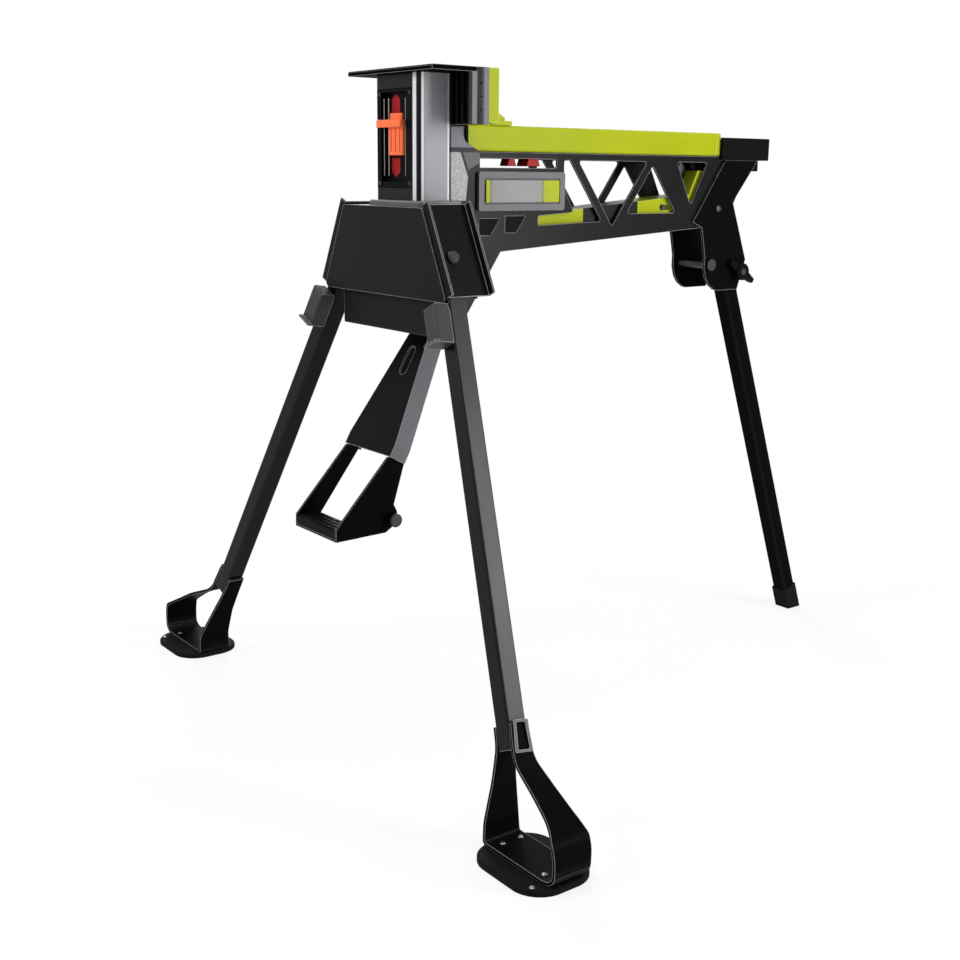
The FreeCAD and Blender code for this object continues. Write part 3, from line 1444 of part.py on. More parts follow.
def rear_saddle():
    """The moulded saddle that the beam slides through, grooved underneath for the rack."""
    body = piece("rear_saddle")
    inner = "(beam_half + saddle_gap)"
    floor_top = "(beam_low - run_gap)"
    groove = "(rack_half + saddle_gap * 2)"
    leg = f"({groove} + saddle_leg)"
    low = "(yoke_top + fit_gap / 2)"
    half = [("saddle_half", low), ("saddle_half", "saddle_top"), (inner, "saddle_top"),
            (inner, floor_top), (groove, floor_top), (groove, "yoke_top - saddle_drop")]
    mirrored = [(f"-{across}", up) for across, up in half[::-1]]
    bridge = "yoke_top - saddle_drop - saddle_bridge"
    slab(body, "XZ",
         half + mirrored + [("-" + leg, low), ("-" + leg, bridge), (leg, bridge), (leg, low)],
         "saddle_front", "saddle_front + saddle_long")
    back = size("saddle_front") + size("saddle_long")
    finish_edges(body, "Fillet", "saddle_lip / 2",
                 lambda edge: runs_along(edge, "x") and middle(edge).y > back - size("fit_gap")
                 and middle(edge).z > size("saddle_top") - size("fit_gap"))
    return in_bench(body)


def rear_leg():
    """The rear leg of square tube, holed for its hinge bolt."""
    body = piece("rear_leg")
    half = "leg_tube / 2"
    slab(body, "XY", about(half, f"-{half}", half), "-rear_long", "rear_head")
    finish_edges(body, "Fillet", "leg_corner", lambda edge: runs_along(edge, "z"))
    slab(body, "XY", about(f"{half} - leg_wall", f"leg_wall - {half}", f"{half} - leg_wall"),
         "-rear_long - over_run", "rear_head + over_run", cut=True)
    disc(body, "YZ", "0", "0", "rear_bolt / 2 + fit_gap / 2", f"-{half} - over_run",
         f"{half} + over_run", cut=True)
    return in_rear(body)


def rear_leg_cup():
    """The rubber cup on the rear leg's end, cut level where it stands on the floor."""
    body = piece("rear_leg_cup")
    bore = "(leg_tube / 2 + fit_gap / 2)"
    half = f"({bore} + cup_wall)"
    slab(body, "XY", about(half, f"-{half}", half), "-rear_up / cos(rear_lean) - leg_tube",
         "cup_tall - rear_long")
    slab(body, "XY", about(bore, f"-{bore}", bore), "-rear_long", "cup_tall - rear_long + over_run",
         cut=True)
    floor = "(-rear_up / cos(rear_lean))"
    reach = "(leg_tube)"
    slab(body, "YZ",
         [(f"-{reach}", f"{floor} + {reach} * tan(rear_lean)"),
          (reach, f"{floor} - {reach} * tan(rear_lean)"),
          (reach, f"{floor} - {reach} * 3"), (f"-{reach}", f"{floor} - {reach} * 3")],
         f"-{reach}", reach, cut=True)
    return in_rear(body)


def rear_bolt():
    """The rear leg's hinge bolt, with its head at the left and a bush each side of the leg."""
    body = piece("rear_bolt")
    centre = ("rear_back", "rear_up")
    disc(body, "YZ", *centre, "rear_bolt / 2", f"-{YOKE_OUT}", YOKE_OUT + " + knob_tall")
    disc(body, "YZ", *centre, "rear_head_radius", f"-{YOKE_OUT} - rear_head_tall", f"-{YOKE_OUT}")
    side = "(leg_tube / 2 + run_gap)"
    disc(body, "YZ", *centre, "bush_radius", f"-{TRUSS_IN} - truss_sheet + fit_gap", f"-{side}")
    disc(body, "YZ", *centre, "bush_radius", side, f"{TRUSS_IN} + truss_sheet - fit_gap")
    return in_bench(body)


def stop_bolt():
    """The stop across the rear bracket that the folded leg comes up to."""
    body = piece("stop_bolt")
    centre = ("stop_back", "stop_up")
    disc(body, "YZ", *centre, "stop_radius", f"-{YOKE_OUT}", YOKE_OUT)
    for low in (f"-{YOKE_OUT} - rear_head_tall / 2", YOKE_OUT):
        disc(body, "YZ", *centre, "rear_head_radius", low, low + " + rear_head_tall / 2")
    return in_bench(body)


def wing_knob():
    """The winged nut on the hinge bolt: a hub with two tapered wings."""
    body = piece("wing_knob")
    face = f"({YOKE_OUT} + fit_gap)"
    disc(body, "YZ", "0", "0", "knob_radius", face, face + " + knob_tall")
    far = size("truss_half") + size("yoke_sheet") + size("knob_tall") / 2
    finish_edges(body, "Chamfer", "knob_edge", lambda edge: middle(edge).x > far)
    for way in (-1, 1):
        slab(body, "YZ",
             [("-knob_wing_thick", f"{way} * knob_radius / 2"),
              ("knob_wing_thick", f"{way} * knob_radius / 2"),
              ("knob_wing_thick / 2", f"{way} * knob_wing"),
              ("-knob_wing_thick / 2", f"{way} * knob_wing")],
             face + " + knob_edge", face + " + knob_tall - knob_edge * 2")
    disc(body, "YZ", "0", "0", "rear_bolt / 2 + fit_gap / 2", face + " - over_run",
         face + " + knob_tall + over_run", cut=True)
    body.Placement = FreeCAD.Placement(
        FreeCAD.Vector(0, size("rear_back") - size("column_ahead"), size("rear_up")),
        FreeCAD.Rotation(0, 0, size("pedal_lean") * 2))
    return body


pieces = [head_deck(), front_cover(), cross_member(), column_collar(), column(), column_plate(),
          switch_bezel(), switch_rail(), mode_slider(), mode_marks(), bezel_screws(), jaw_cap(),
          fixed_jaw(),
          grooved_pad("fixed_jaw_pad", "(jaw_front + jaw_plate)", "jaw_pad", "back"),
          grooved_pad("moving_jaw_pad", f"({JAW_FACE} + jaw_gap)", "clamp_pad", "front"),
          moving_jaw_plate(), moving_jaw(), jaw_bolts(), clamp_beam(), beam_carrier(),
          beam_buffer(), beam_end_cap(), drive_rack(), side_panel(), pull_channel(), spine_pins(),
          guide_blocks(), leg_bolts(), pedal_arm(), pedal_stirrup(), pedal_tread(),
          group("pedal_pins", [horn_pin(), pedal_peg()]), rear_saddle(), rear_leg(),
          rear_leg_cup(), group("rear_bolts", [rear_bolt(), stop_bolt()]), wing_knob()]
pieces += [pawl("hold_pawl", "hold_back", "hold_up", "-pawl_wide - pawl_inset"),
           pawl("drive_pawl", "drive_back", "drive_up", "pawl_inset"),
           pawl_pin("drive_pin", "drive_back", "drive_up", "pawl_inset / 2", "channel_half")]
for side_name, side_way in SIDES.items():
    for make in (head_back, leg_bracket, head_side, truss, front_leg, foot_strap, foot_sole,
                 foot_fixings, leg_latch, rear_yoke):
        pieces.append(make(side_name, side_way))

doc.recompute()
for item in doc.Objects:
    if "Invalid" in item.State or "Error" in item.State:
        raise RuntimeError("%s is %s" % (item.Name, item.State))
for item in pieces:
    if item.Shape.isNull() or not item.Shape.isValid():
        raise RuntimeError(item.Label + " has no valid shape")
for item in pieces:
    item.Shape.exportStep(os.path.join("parts", item.Label + ".step"))
print(len(pieces), "pieces")
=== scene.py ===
"""Finishes and fine pieces of a folding workbench, laid out as an add-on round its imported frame.

Lengths are metres in the bench's own frame: +X is the user's right, +Y runs rearwards along the
clamp beam and +Z is up, with the floor at zero.
"""

import math

import bmesh
import bpy
import numpy as np
from bpy.props import FloatProperty, FloatVectorProperty, PointerProperty
from mathutils import Matrix, Vector


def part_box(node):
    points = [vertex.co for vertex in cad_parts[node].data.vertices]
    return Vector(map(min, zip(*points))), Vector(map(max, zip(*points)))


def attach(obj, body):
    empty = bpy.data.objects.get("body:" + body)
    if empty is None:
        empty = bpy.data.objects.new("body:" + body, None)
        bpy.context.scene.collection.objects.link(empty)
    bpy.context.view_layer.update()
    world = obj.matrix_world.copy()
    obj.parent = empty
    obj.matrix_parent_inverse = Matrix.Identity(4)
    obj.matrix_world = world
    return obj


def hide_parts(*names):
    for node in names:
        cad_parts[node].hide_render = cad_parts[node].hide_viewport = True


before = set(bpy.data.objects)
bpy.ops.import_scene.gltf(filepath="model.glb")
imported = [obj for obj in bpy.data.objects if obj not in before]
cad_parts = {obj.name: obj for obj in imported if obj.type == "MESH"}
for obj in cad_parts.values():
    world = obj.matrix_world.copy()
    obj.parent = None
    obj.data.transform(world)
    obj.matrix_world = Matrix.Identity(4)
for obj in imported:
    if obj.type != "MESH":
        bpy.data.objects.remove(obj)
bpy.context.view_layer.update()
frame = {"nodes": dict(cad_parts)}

bl_info = {
    "name": "Folding Workbench Looks",
    "version": (1, 0, 0),
    "blender": (4, 5, 0),
    "location": "View3D > Sidebar > Workbench",
    "description": "Dresses the packed bench in its paints, rubbers and plastics",
    "category": "Object",
}

MM = 0.001
SHARP_FROM = math.radians(35)
WHITE = (1.0, 1.0, 1.0, 1.0)


def linear(code):
    """A linear colour with alpha from an sRGB hex value."""
    channels = np.array([int(code[start:start + 2], 16) for start in (1, 3, 5)]) / 255
    curved = ((channels + 0.055) / 1.055) ** 2.4
    return (*np.where(channels <= 0.04045, channels / 12.92, curved).tolist(), 1.0)


def paint(name, description, code):
    """A colour that a user can change, given as sRGB hex."""
    return FloatVectorProperty(name=name, description=description, subtype="COLOR", size=4,
                               min=0, max=1, default=linear(code))


def length(name, description, value):
    """A length that a user can change."""
    return FloatProperty(name=name, description=description, default=value, min=0,
                         unit="LENGTH", precision=4)


class WorkbenchColours(bpy.types.PropertyGroup):
    """The colours of the bench's finishes."""
    frame_black: paint("Frame black", "Powder coat on legs, straps and spine", "#070708")
    bracket_black: paint("Bracket black", "Powder coat on the leg brackets", "#101011")
    cover_black: paint("Cover black", "Powder coat on the pressed front cover", "#1d1d1d")
    # Painted shade: a black band across the pull channel, where it lies in shade.
    channel_shade_black: paint("Sleeve black", "Band round the pull channel", "#0d0d0e")
    pewter: paint("Pewter", "Metallic paint on the column's sides", "#9d9da3")
    # Painted highlight: the bright lines down the column's edges and the strip beside the switch.
    column_highlight: paint("Column line", "Bright lines down the column's edges", "#e3e3e6")
    jaw_pewter: paint("Jaw pewter", "Metallic paint behind the fixed jaw's ribs", "#777580")
    jaw_black: paint("Jaw black", "Paint on the fixed jaw's ribs", "#070707")
    collar_grey: paint("Collar grey", "Paint on the column's collar", "#66666a")
    # The cheek's pale and darker greys are painted reflections, split by a dark line.
    cheek_bright_reflection: paint("Cheek pale", "Front facet of the head's cheeks", "#acacab")
    cheek_dim_reflection: paint("Cheek dark", "Rear facet of the head's cheeks", "#5b5b5d")
    cheek_dark_line: paint("Cheek seam", "Seam between a cheek's facets", "#060606")
    cheek_band: paint("Cheek band", "Dark band across a cheek, below the beam", "#0b0b0c")
    cheek_top: paint("Cheek top", "Grey over the band, as on the beam's carrier", "#75737c")
    lime: paint("Lime", "Gloss paint on the beam, its jaw and the pull channel", "#a2ac00")
    # Painted highlight along the edges of the lime gloss paint.
    lime_edge_highlight: paint("Lime edge", "Where the gloss paint lies thin on an edge", "#dfe68c")
    orange: paint("Orange", "Moulded mode slider", "#ff7745")
    signal_red: paint("Signal red", "Pointers and guide blocks", "#a11518")
    pad_green: paint("Pad green", "Rubber facing of the fixed jaw", "#33362e")
    pad_grey: paint("Pad grey", "Rubber facing of the moving jaw", "#4c4b50")
    sole_black: paint("Sole black", "Rubber soles, cup and buffer", "#101010")
    moulded_black: paint("Moulded black", "Saddle, knob, treads and switch panel", "#09090a")
    latch_grey: paint("Latch grey", "Moulded latches of the front legs", "#2c2c2e")
    moulded_grey: paint("Moulded grey", "Beam carrier and side panel", "#69686c")
    panel_field: paint("Panel field", "Bare field of the side panel", "#8f8f8d")
    steel: paint("Steel", "Bare ground steel of rack and pawls", "#66656b")
    blued_steel: paint("Blued steel", "Darker ground steel of the moving jaw's plate", "#3f3f42")
    zinc: paint("Zinc", "Plated bolts and rivets", "#8f8e8a")
    oxide: paint("Black oxide", "Blackened bolts and screws", "#3c3c3e")
    floor: paint("Floor", "The studio's floor", "#f4f4f4")


class WorkbenchSizes(bpy.types.PropertyGroup):
    """The small lengths that the finishes and the stage are worked out from."""
    coat_edge: length("Coat edge", "Radius that paint leaves on a folded or sawn edge", 1.4 * MM)
    peel: length("Orange peel", "Width of one dimple in the powder coat", 2.2 * MM)
    grain: length("Grain", "Width of one grain in moulded plastic", 1.2 * MM)
    flake: length("Flake", "Width of one fleck in metallic paint", 1.2 * MM)
    scratch: length("Scratch", "Spacing of the ground steel's lines", 0.8 * MM)
    floor_reach: length("Floor reach", "Half the width of the studio floor", 9.0)


def add(tree, kind, inputs=None, **settings):
    """Adds a node with its settings. Each input gets a value, or the socket that feeds it."""
    node = tree.nodes.new("ShaderNode" + kind)
    for name, value in settings.items():
        setattr(node, name, value)
    for name, value in (inputs or {}).items():
        if isinstance(value, bpy.types.NodeSocket):
            tree.links.new(value, node.inputs[name])
        else:
            node.inputs[name].default_value = value
    return node


def per_metre(size):
    """The scale at which a noise's features have a size in metres."""
    return 1 / size


def blank(name):
    """A new material, its empty tree, and the socket that gives a point's place on the bench."""
    material = bpy.data.materials.new(name)
    material.use_nodes = True
    tree = material.node_tree
    tree.nodes.clear()
    return material, tree, add(tree, "TexCoord").outputs["Object"]


def skin(tree, radius, height, strength, depth):
    """Rounds the edges by a radius and raises a height over them.

    Gives the normal for a shader, and the rounded normal by itself.
    """
    rounded = add(tree, "Bevel", {"Radius": radius}, samples=6).outputs["Normal"]
    raised = add(tree, "Bump", {"Strength": strength, "Distance": depth, "Height": height,
                                "Normal": rounded})
    return raised.outputs["Normal"], rounded


def edge_share(tree, rounded, reach=0.16):
    """How near a point is to a sharp edge: 0 on a flat, 1 where the rounded normal leaves it."""
    face = add(tree, "NewGeometry")
    along = add(tree, "VectorMath", {0: rounded, 1: face.outputs["True Normal"]},
                operation="DOT_PRODUCT")
    return add(tree, "MapRange", {"Value": along.outputs["Value"], "From Min": 1.0,
                                  "From Max": 1.0 - reach}).outputs["Result"]


def outward_share(tree, place):
    """1 on the faces that look sideways and away from the bench's middle, 0 on the others."""
    facing = add(tree, "SeparateXYZ", {0: add(tree, "TexCoord").outputs["Normal"]})
    parts = add(tree, "SeparateXYZ", {0: place})
    side = add(tree, "Math", {0: parts.outputs["X"]}, operation="SIGN")
    outwards = add(tree, "Math", {0: facing.outputs["X"], 1: side.outputs["Value"]},
                   operation="MULTIPLY")
    return add(tree, "MapRange", {"Value": outwards.outputs["Value"], "From Min": 0.84,
                                  "From Max": 0.88}).outputs["Result"]


def beyond(tree, along, start, rise=0.5 * MM):
    """0 before a place along a way and 1 from just behind it."""
    return add(tree, "MapRange", {"Value": along, "From Min": start,
                                  "From Max": start + rise}).outputs["Result"]


def between(tree, first, last):
    """1 from the first step to the last one and 0 elsewhere."""
    return add(tree, "Math", {0: first, 1: last}, operation="SUBTRACT",
               use_clamp=True).outputs["Value"]


def toned(tree, colour, pattern, least, most):
    """A colour times a pattern that is stretched between two shares of it."""
    share = add(tree, "MapRange", {"Value": pattern, "To Min": least, "To Max": most})
    return add(tree, "VectorMath", {0: colour, 1: share.outputs["Result"]},
               operation="MULTIPLY").outputs["Vector"]


def surface(tree, colour, normal, others):
    """Ends a material: a shader with its colour, its normal and its other inputs."""
    shader = add(tree, "BsdfPrincipled", {"Base Color": colour, "Normal": normal, **others})
    add(tree, "OutputMaterial", {"Surface": shader.outputs["BSDF"]})


def powder_coat(name, colour, roughness, specular, rub, painted_sheen=None):
    """Powder-coated steel, sprayed dry and baked.

    The eye gets a satin skin with faint orange peel, duller in patches as wide as a hand, edges
    that the melted coat has rounded, and a paler colour along them that is partly rubbed paint and
    partly painted highlight. A painted sheen colour, where there is one, is a painted highlight:
    the outward sides of a leg or arm are drawn paler, standing in for a lamp's reflection. Real
    peel is about 1 mm wide and is drawn twice as coarse, because it wouldn't show.
    """
    sizes = bpy.context.scene.workbench_sizes
    material, tree, place = blank(name)
    dimples = add(tree, "TexNoise", {"Vector": place, "Scale": per_metre(sizes.peel),
                                     "Detail": 1.0}).outputs["Fac"]
    clouds = add(tree, "TexNoise", {"Vector": place, "Scale": per_metre(70 * MM),
                                    "Detail": 4.0}).outputs["Fac"]
    normal, rounded = skin(tree, sizes.coat_edge, dimples, strength=0.12, depth=0.4 * MM)
    # Painted sheen: the outward sides are drawn paler, as a painted highlight.
    coat = colour
    if painted_sheen:
        coat = add(tree, "MixRGB", {"Color1": colour, "Color2": painted_sheen,
                                    "Fac": outward_share(tree, place)}).outputs["Color"]
    # The edges are drawn paler, partly as rubbed paint and partly as a painted highlight.
    worn_and_lit = add(tree, "MixRGB", {"Color1": coat, "Color2": rub,
                                "Fac": edge_share(tree, rounded)}).outputs["Color"]
    dull = add(tree, "MapRange", {"Value": clouds, "To Min": roughness - 0.06,
                                  "To Max": roughness + 0.08}).outputs["Result"]
    surface(tree, toned(tree, worn_and_lit, clouds, 0.82, 1.2), normal,
            {"Roughness": dull, "Specular IOR Level": specular})
    return material


def gloss_paint(name, colour, pale, sleeve=None):
    """Gloss enamel over steel, sprayed wet and stoved.

    The eye gets a flat bright colour, a long soft swell in place of orange peel, and edges with a
    pale painted highlight along them. A shade span, where there is one, is a black band of painted
    shade between two places along the bench.
    """
    colours, sizes = bpy.context.scene.workbench_colours, bpy.context.scene.workbench_sizes
    material, tree, place = blank(name)
    swell = add(tree, "TexNoise", {"Vector": place, "Scale": per_metre(sizes.peel * 2),
                                   "Detail": 1.0}).outputs["Fac"]
    clouds = add(tree, "TexNoise", {"Vector": place, "Scale": per_metre(90 * MM),
                                    "Detail": 3.0}).outputs["Fac"]
    normal, rounded = skin(tree, sizes.coat_edge * 1.5, swell, strength=0.06, depth=0.4 * MM)
    # The pale colour along the edges is a painted highlight.
    lit = add(tree, "MixRGB", {"Color1": colour, "Color2": pale,
                               "Fac": edge_share(tree, rounded)}).outputs["Color"]
    shade = toned(tree, lit, clouds, 0.92, 1.08)
    # A black band of painted shade between two places along the bench.
    if sleeve is not None:
        along = add(tree, "SeparateXYZ", {0: place}).outputs["Y"]
        band = between(tree, *(beyond(tree, along, end) for end in sleeve))
        shade = add(tree, "MixRGB", {"Color1": shade, "Color2": colours.channel_shade_black,
                                     "Fac": band}).outputs["Color"]
    surface(tree, shade, normal, {"Roughness": 0.36, "Specular IOR Level": 0.1})
    return material


def moulded(name, colour, roughness, specular):
    """Injection-moulded plastic, from a mould with an etched grain.

    The eye gets a fine even grain, a soft sheen that it breaks up, and small round edges. Real
    grain is about 0.3 mm wide and is drawn four times as coarse, because it wouldn't show.
    """
    sizes = bpy.context.scene.workbench_sizes
    material, tree, place = blank(name)
    grain = add(tree, "TexNoise", {"Vector": place, "Scale": per_metre(sizes.grain),
                                   "Detail": 2.0}).outputs["Fac"]
    clouds = add(tree, "TexNoise", {"Vector": place, "Scale": per_metre(30 * MM),
                                    "Detail": 2.0}).outputs["Fac"]
    normal, _ = skin(tree, sizes.coat_edge * 0.8, grain, strength=0.3, depth=0.3 * MM)
    surface(tree, toned(tree, colour[:3], clouds, 0.85, 1.15), normal,
            {"Roughness": roughness, "Specular IOR Level": specular})
    return material


def moulded_rubber(name, colour):
    """Rubber pressed in a blasted mould.

    The eye gets a matt, faintly dusty face with cloudy patches and a coarse grain. As on the
    plastics, the grain is drawn coarser than it is.
    """
    sizes = bpy.context.scene.workbench_sizes
    material, tree, place = blank(name)
    grain = add(tree, "TexNoise", {"Vector": place, "Scale": per_metre(sizes.grain * 1.6),
                                   "Detail": 4.0}).outputs["Fac"]
    clouds = add(tree, "TexNoise", {"Vector": place, "Scale": per_metre(20 * MM),
                                    "Detail": 5.0}).outputs["Fac"]
    normal, _ = skin(tree, sizes.coat_edge, grain, strength=0.35, depth=0.4 * MM)
    surface(tree, toned(tree, colour[:3], clouds, 0.75, 1.35), normal,
            {"Roughness": 0.72, "Specular IOR Level": 0.05})
    return material


def ground_steel(name, colour, stretch):
    """Bare steel off a surface grinder.

    The eye gets fine lines along one axis, lighter and duller by turns, which spread the light
    across them. A stretch is the pattern's scale along each axis, small along the lines. Real
    lines lie about 0.1 mm apart and are drawn eight times as coarse, because they wouldn't show.
    """
    sizes = bpy.context.scene.workbench_sizes
    material, tree, place = blank(name)
    drawn = add(tree, "Mapping", {"Vector": place, "Scale": stretch}).outputs["Vector"]
    lines = add(tree, "TexNoise", {"Vector": drawn, "Scale": per_metre(sizes.scratch),
                                   "Detail": 2.0}).outputs["Fac"]
    normal, _ = skin(tree, sizes.coat_edge * 0.5, lines, strength=0.18, depth=0.2 * MM)
    dull = add(tree, "MapRange", {"Value": lines, "To Min": 0.3, "To Max": 0.46})
    surface(tree, toned(tree, colour[:3], lines, 0.8, 1.1), normal,
            {"Metallic": 1.0, "Roughness": dull.outputs["Result"]})
    return material


def zinc_plate(name, colour):
    """Zinc-plated or blackened steel fasteners, tumbled in a barrel as they are coated.

    The eye gets a thin even coat whose small crystals differ slightly in tone, with a few soft
    dents. Real crystals are under 0.5 mm wide and are drawn coarser, because they wouldn't show.
    """
    sizes = bpy.context.scene.workbench_sizes
    material, tree, place = blank(name)
    crystals = add(tree, "TexVoronoi", {"Vector": place, "Scale": per_metre(2.5 * MM)})
    dents = add(tree, "TexNoise", {"Vector": place, "Scale": per_metre(6 * MM),
                                   "Detail": 3.0}).outputs["Fac"]
    normal, _ = skin(tree, sizes.coat_edge * 0.5, dents, strength=0.15, depth=0.3 * MM)
    surface(tree, toned(tree, colour[:3], crystals.outputs["Color"], 0.78, 1.08), normal,
            {"Metallic": 1.0, "Roughness": 0.36})
    return material


def metal_flakes(tree, place):
    """Flecks of metallic paint.

    Real ones are about 0.05 mm wide and are drawn over twenty times as coarse, because they
    wouldn't show.
    """
    sizes = bpy.context.scene.workbench_sizes
    return add(tree, "TexNoise", {"Vector": place, "Scale": per_metre(sizes.flake),
                                  "Detail": 2.0}).outputs["Fac"]


def banded_column(name, pewter, black):
    """Pewter metallic paint, with a black face round the switch.

    The eye gets a dark front with one strip of painted highlight beside the switch, a black front
    corner of painted shade, and a pale side between two lines of painted highlight.
    """
    colours, sizes = bpy.context.scene.workbench_colours, bpy.context.scene.workbench_sizes
    low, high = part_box("column")
    face_depth = 3.0 * MM
    # A strip of painted highlight on the front, and two lines of painted highlight on the side.
    strip_left, strip_right = high.x - 16.5 * MM, high.x - 8.5 * MM
    line_front, line_back = low.y + 3.2 * MM, low.y + 6.0 * MM
    last_line_width = 3.0 * MM

    material, tree, place = blank(name)
    parts = add(tree, "SeparateXYZ", {0: place})
    across, along = parts.outputs["X"], parts.outputs["Y"]
    strip = between(tree, beyond(tree, across, strip_left), beyond(tree, across, strip_right))
    first_line = between(tree, beyond(tree, along, line_front), beyond(tree, along, line_back))
    last_line = beyond(tree, along, high.y - last_line_width)
    highlight_lines = add(tree, "Math", {0: first_line, 1: last_line}, operation="MAXIMUM")
    bright = add(tree, "Math", {0: highlight_lines.outputs["Value"], 1: strip}, operation="MAXIMUM")
    # The front face is black. At the front corner, this black is painted shade.
    front = add(tree, "Math", {0: 1.0, 1: beyond(tree, along, low.y + face_depth)},
                operation="SUBTRACT")
    dark = between(tree, front.outputs["Value"], strip)

    flakes = metal_flakes(tree, place)
    normal, _ = skin(tree, sizes.coat_edge, flakes, strength=0.08, depth=0.2 * MM)
    lit = add(tree, "MixRGB", {"Color1": toned(tree, pewter[:3], flakes, 0.92, 1.06),
                               "Color2": colours.column_highlight, "Fac": bright.outputs["Value"]})
    mixed = add(tree, "MixRGB", {"Color1": lit.outputs["Color"], "Color2": black, "Fac": dark})
    surface(tree, mixed.outputs["Color"], normal,
            {"Roughness": 0.36, "Specular IOR Level": 0.12})
    return material


def ribbed_jaw(name, pale, dark):
    """Two coats of paint on the fixed jaw, one sprayed behind a mask.

    The eye gets black upright ribs before a plate of pewter metallic paint.
    """
    sizes = bpy.context.scene.workbench_sizes
    plate_thickness = 7.8 * MM
    plate_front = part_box("fixed_jaw")[1].y - plate_thickness
    material, tree, place = blank(name)
    along = add(tree, "SeparateXYZ", {0: place}).outputs["Y"]
    flakes = metal_flakes(tree, place)
    normal, _ = skin(tree, sizes.coat_edge * 0.5, flakes, strength=0.08, depth=0.2 * MM)
    coats = add(tree, "MixRGB", {"Color1": dark, "Color2": pale,
                                 "Fac": beyond(tree, along, plate_front)}).outputs["Color"]
    surface(tree, toned(tree, coats, flakes, 0.92, 1.06), normal,
            {"Roughness": 0.4, "Specular IOR Level": 0.1})
    return material


def pressed_cheek(name, pale, dark):
    """A cheek pressed from sheet, with painted reflections in two greys.

    The eye gets a mottled pale painted reflection, a black line and a darker painted reflection
    behind it, which slant rearwards as they rise. Above them lies a black band, and over that the
    grey of the beam's carrier.
    """
    colours, sizes = bpy.context.scene.workbench_colours, bpy.context.scene.workbench_sizes
    low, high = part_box("head_side_right")
    # Two painted reflections, pale in front and darker behind, with a dark line between them.
    reflection_width, dark_line_width, soft = 14 * MM, 4 * MM, 0.6 * MM
    reflection_top, band_low, band_high = high.z - 30 * MM, high.z - 32 * MM, high.z - 26 * MM
    slant = 0.8 * (high.y - low.y) / (high.z - low.z)
    reflection_front = low.y + slant * reflection_top

    material, tree, place = blank(name)
    parts = add(tree, "SeparateXYZ", {0: place})
    slanted = add(tree, "Math", {0: parts.outputs["Z"], 1: slant, 2: parts.outputs["Y"]},
                  operation="MULTIPLY_ADD").outputs["Value"]
    dark_line_front = beyond(tree, slanted, reflection_front + reflection_width, soft)
    dim_reflection_start = beyond(tree, slanted, reflection_front + reflection_width + dark_line_width, soft)
    mottle = add(tree, "TexNoise", {"Vector": place, "Scale": per_metre(3 * MM),
                                    "Detail": 4.0}).outputs["Fac"]
    normal, _ = skin(tree, sizes.coat_edge, mottle, strength=0.25, depth=0.4 * MM)
    contrast = add(tree, "MapRange", {"Value": mottle, "From Min": 0.3, "From Max": 0.7})
    whole = toned(tree, pale[:3], contrast.outputs["Result"], 0.7, 1.2)
    for share, colour in ((dark_line_front, colours.cheek_dark_line), (dim_reflection_start, dark),
                          (beyond(tree, parts.outputs["Z"], band_low, MM),
                           colours.cheek_band),
                          (beyond(tree, parts.outputs["Z"], band_high, MM),
                           colours.cheek_top)):
        whole = add(tree, "MixRGB", {"Color1": whole, "Color2": colour,
                                     "Fac": share}).outputs["Color"]
    surface(tree, whole, normal, {"Roughness": 0.5, "Specular IOR Level": 0.25})
    return material


def dress(material, *names):
    """Puts a finish into the material slots of nodes of the frame."""
    for name in names:
        node = frame["nodes"][name]
        if not node.material_slots:
            node.data.materials.append(material)
        for slot in node.material_slots:
            slot.material = material


def both(name):
    """The names of a left and a right piece."""
    return [name + "_left", name + "_right"]


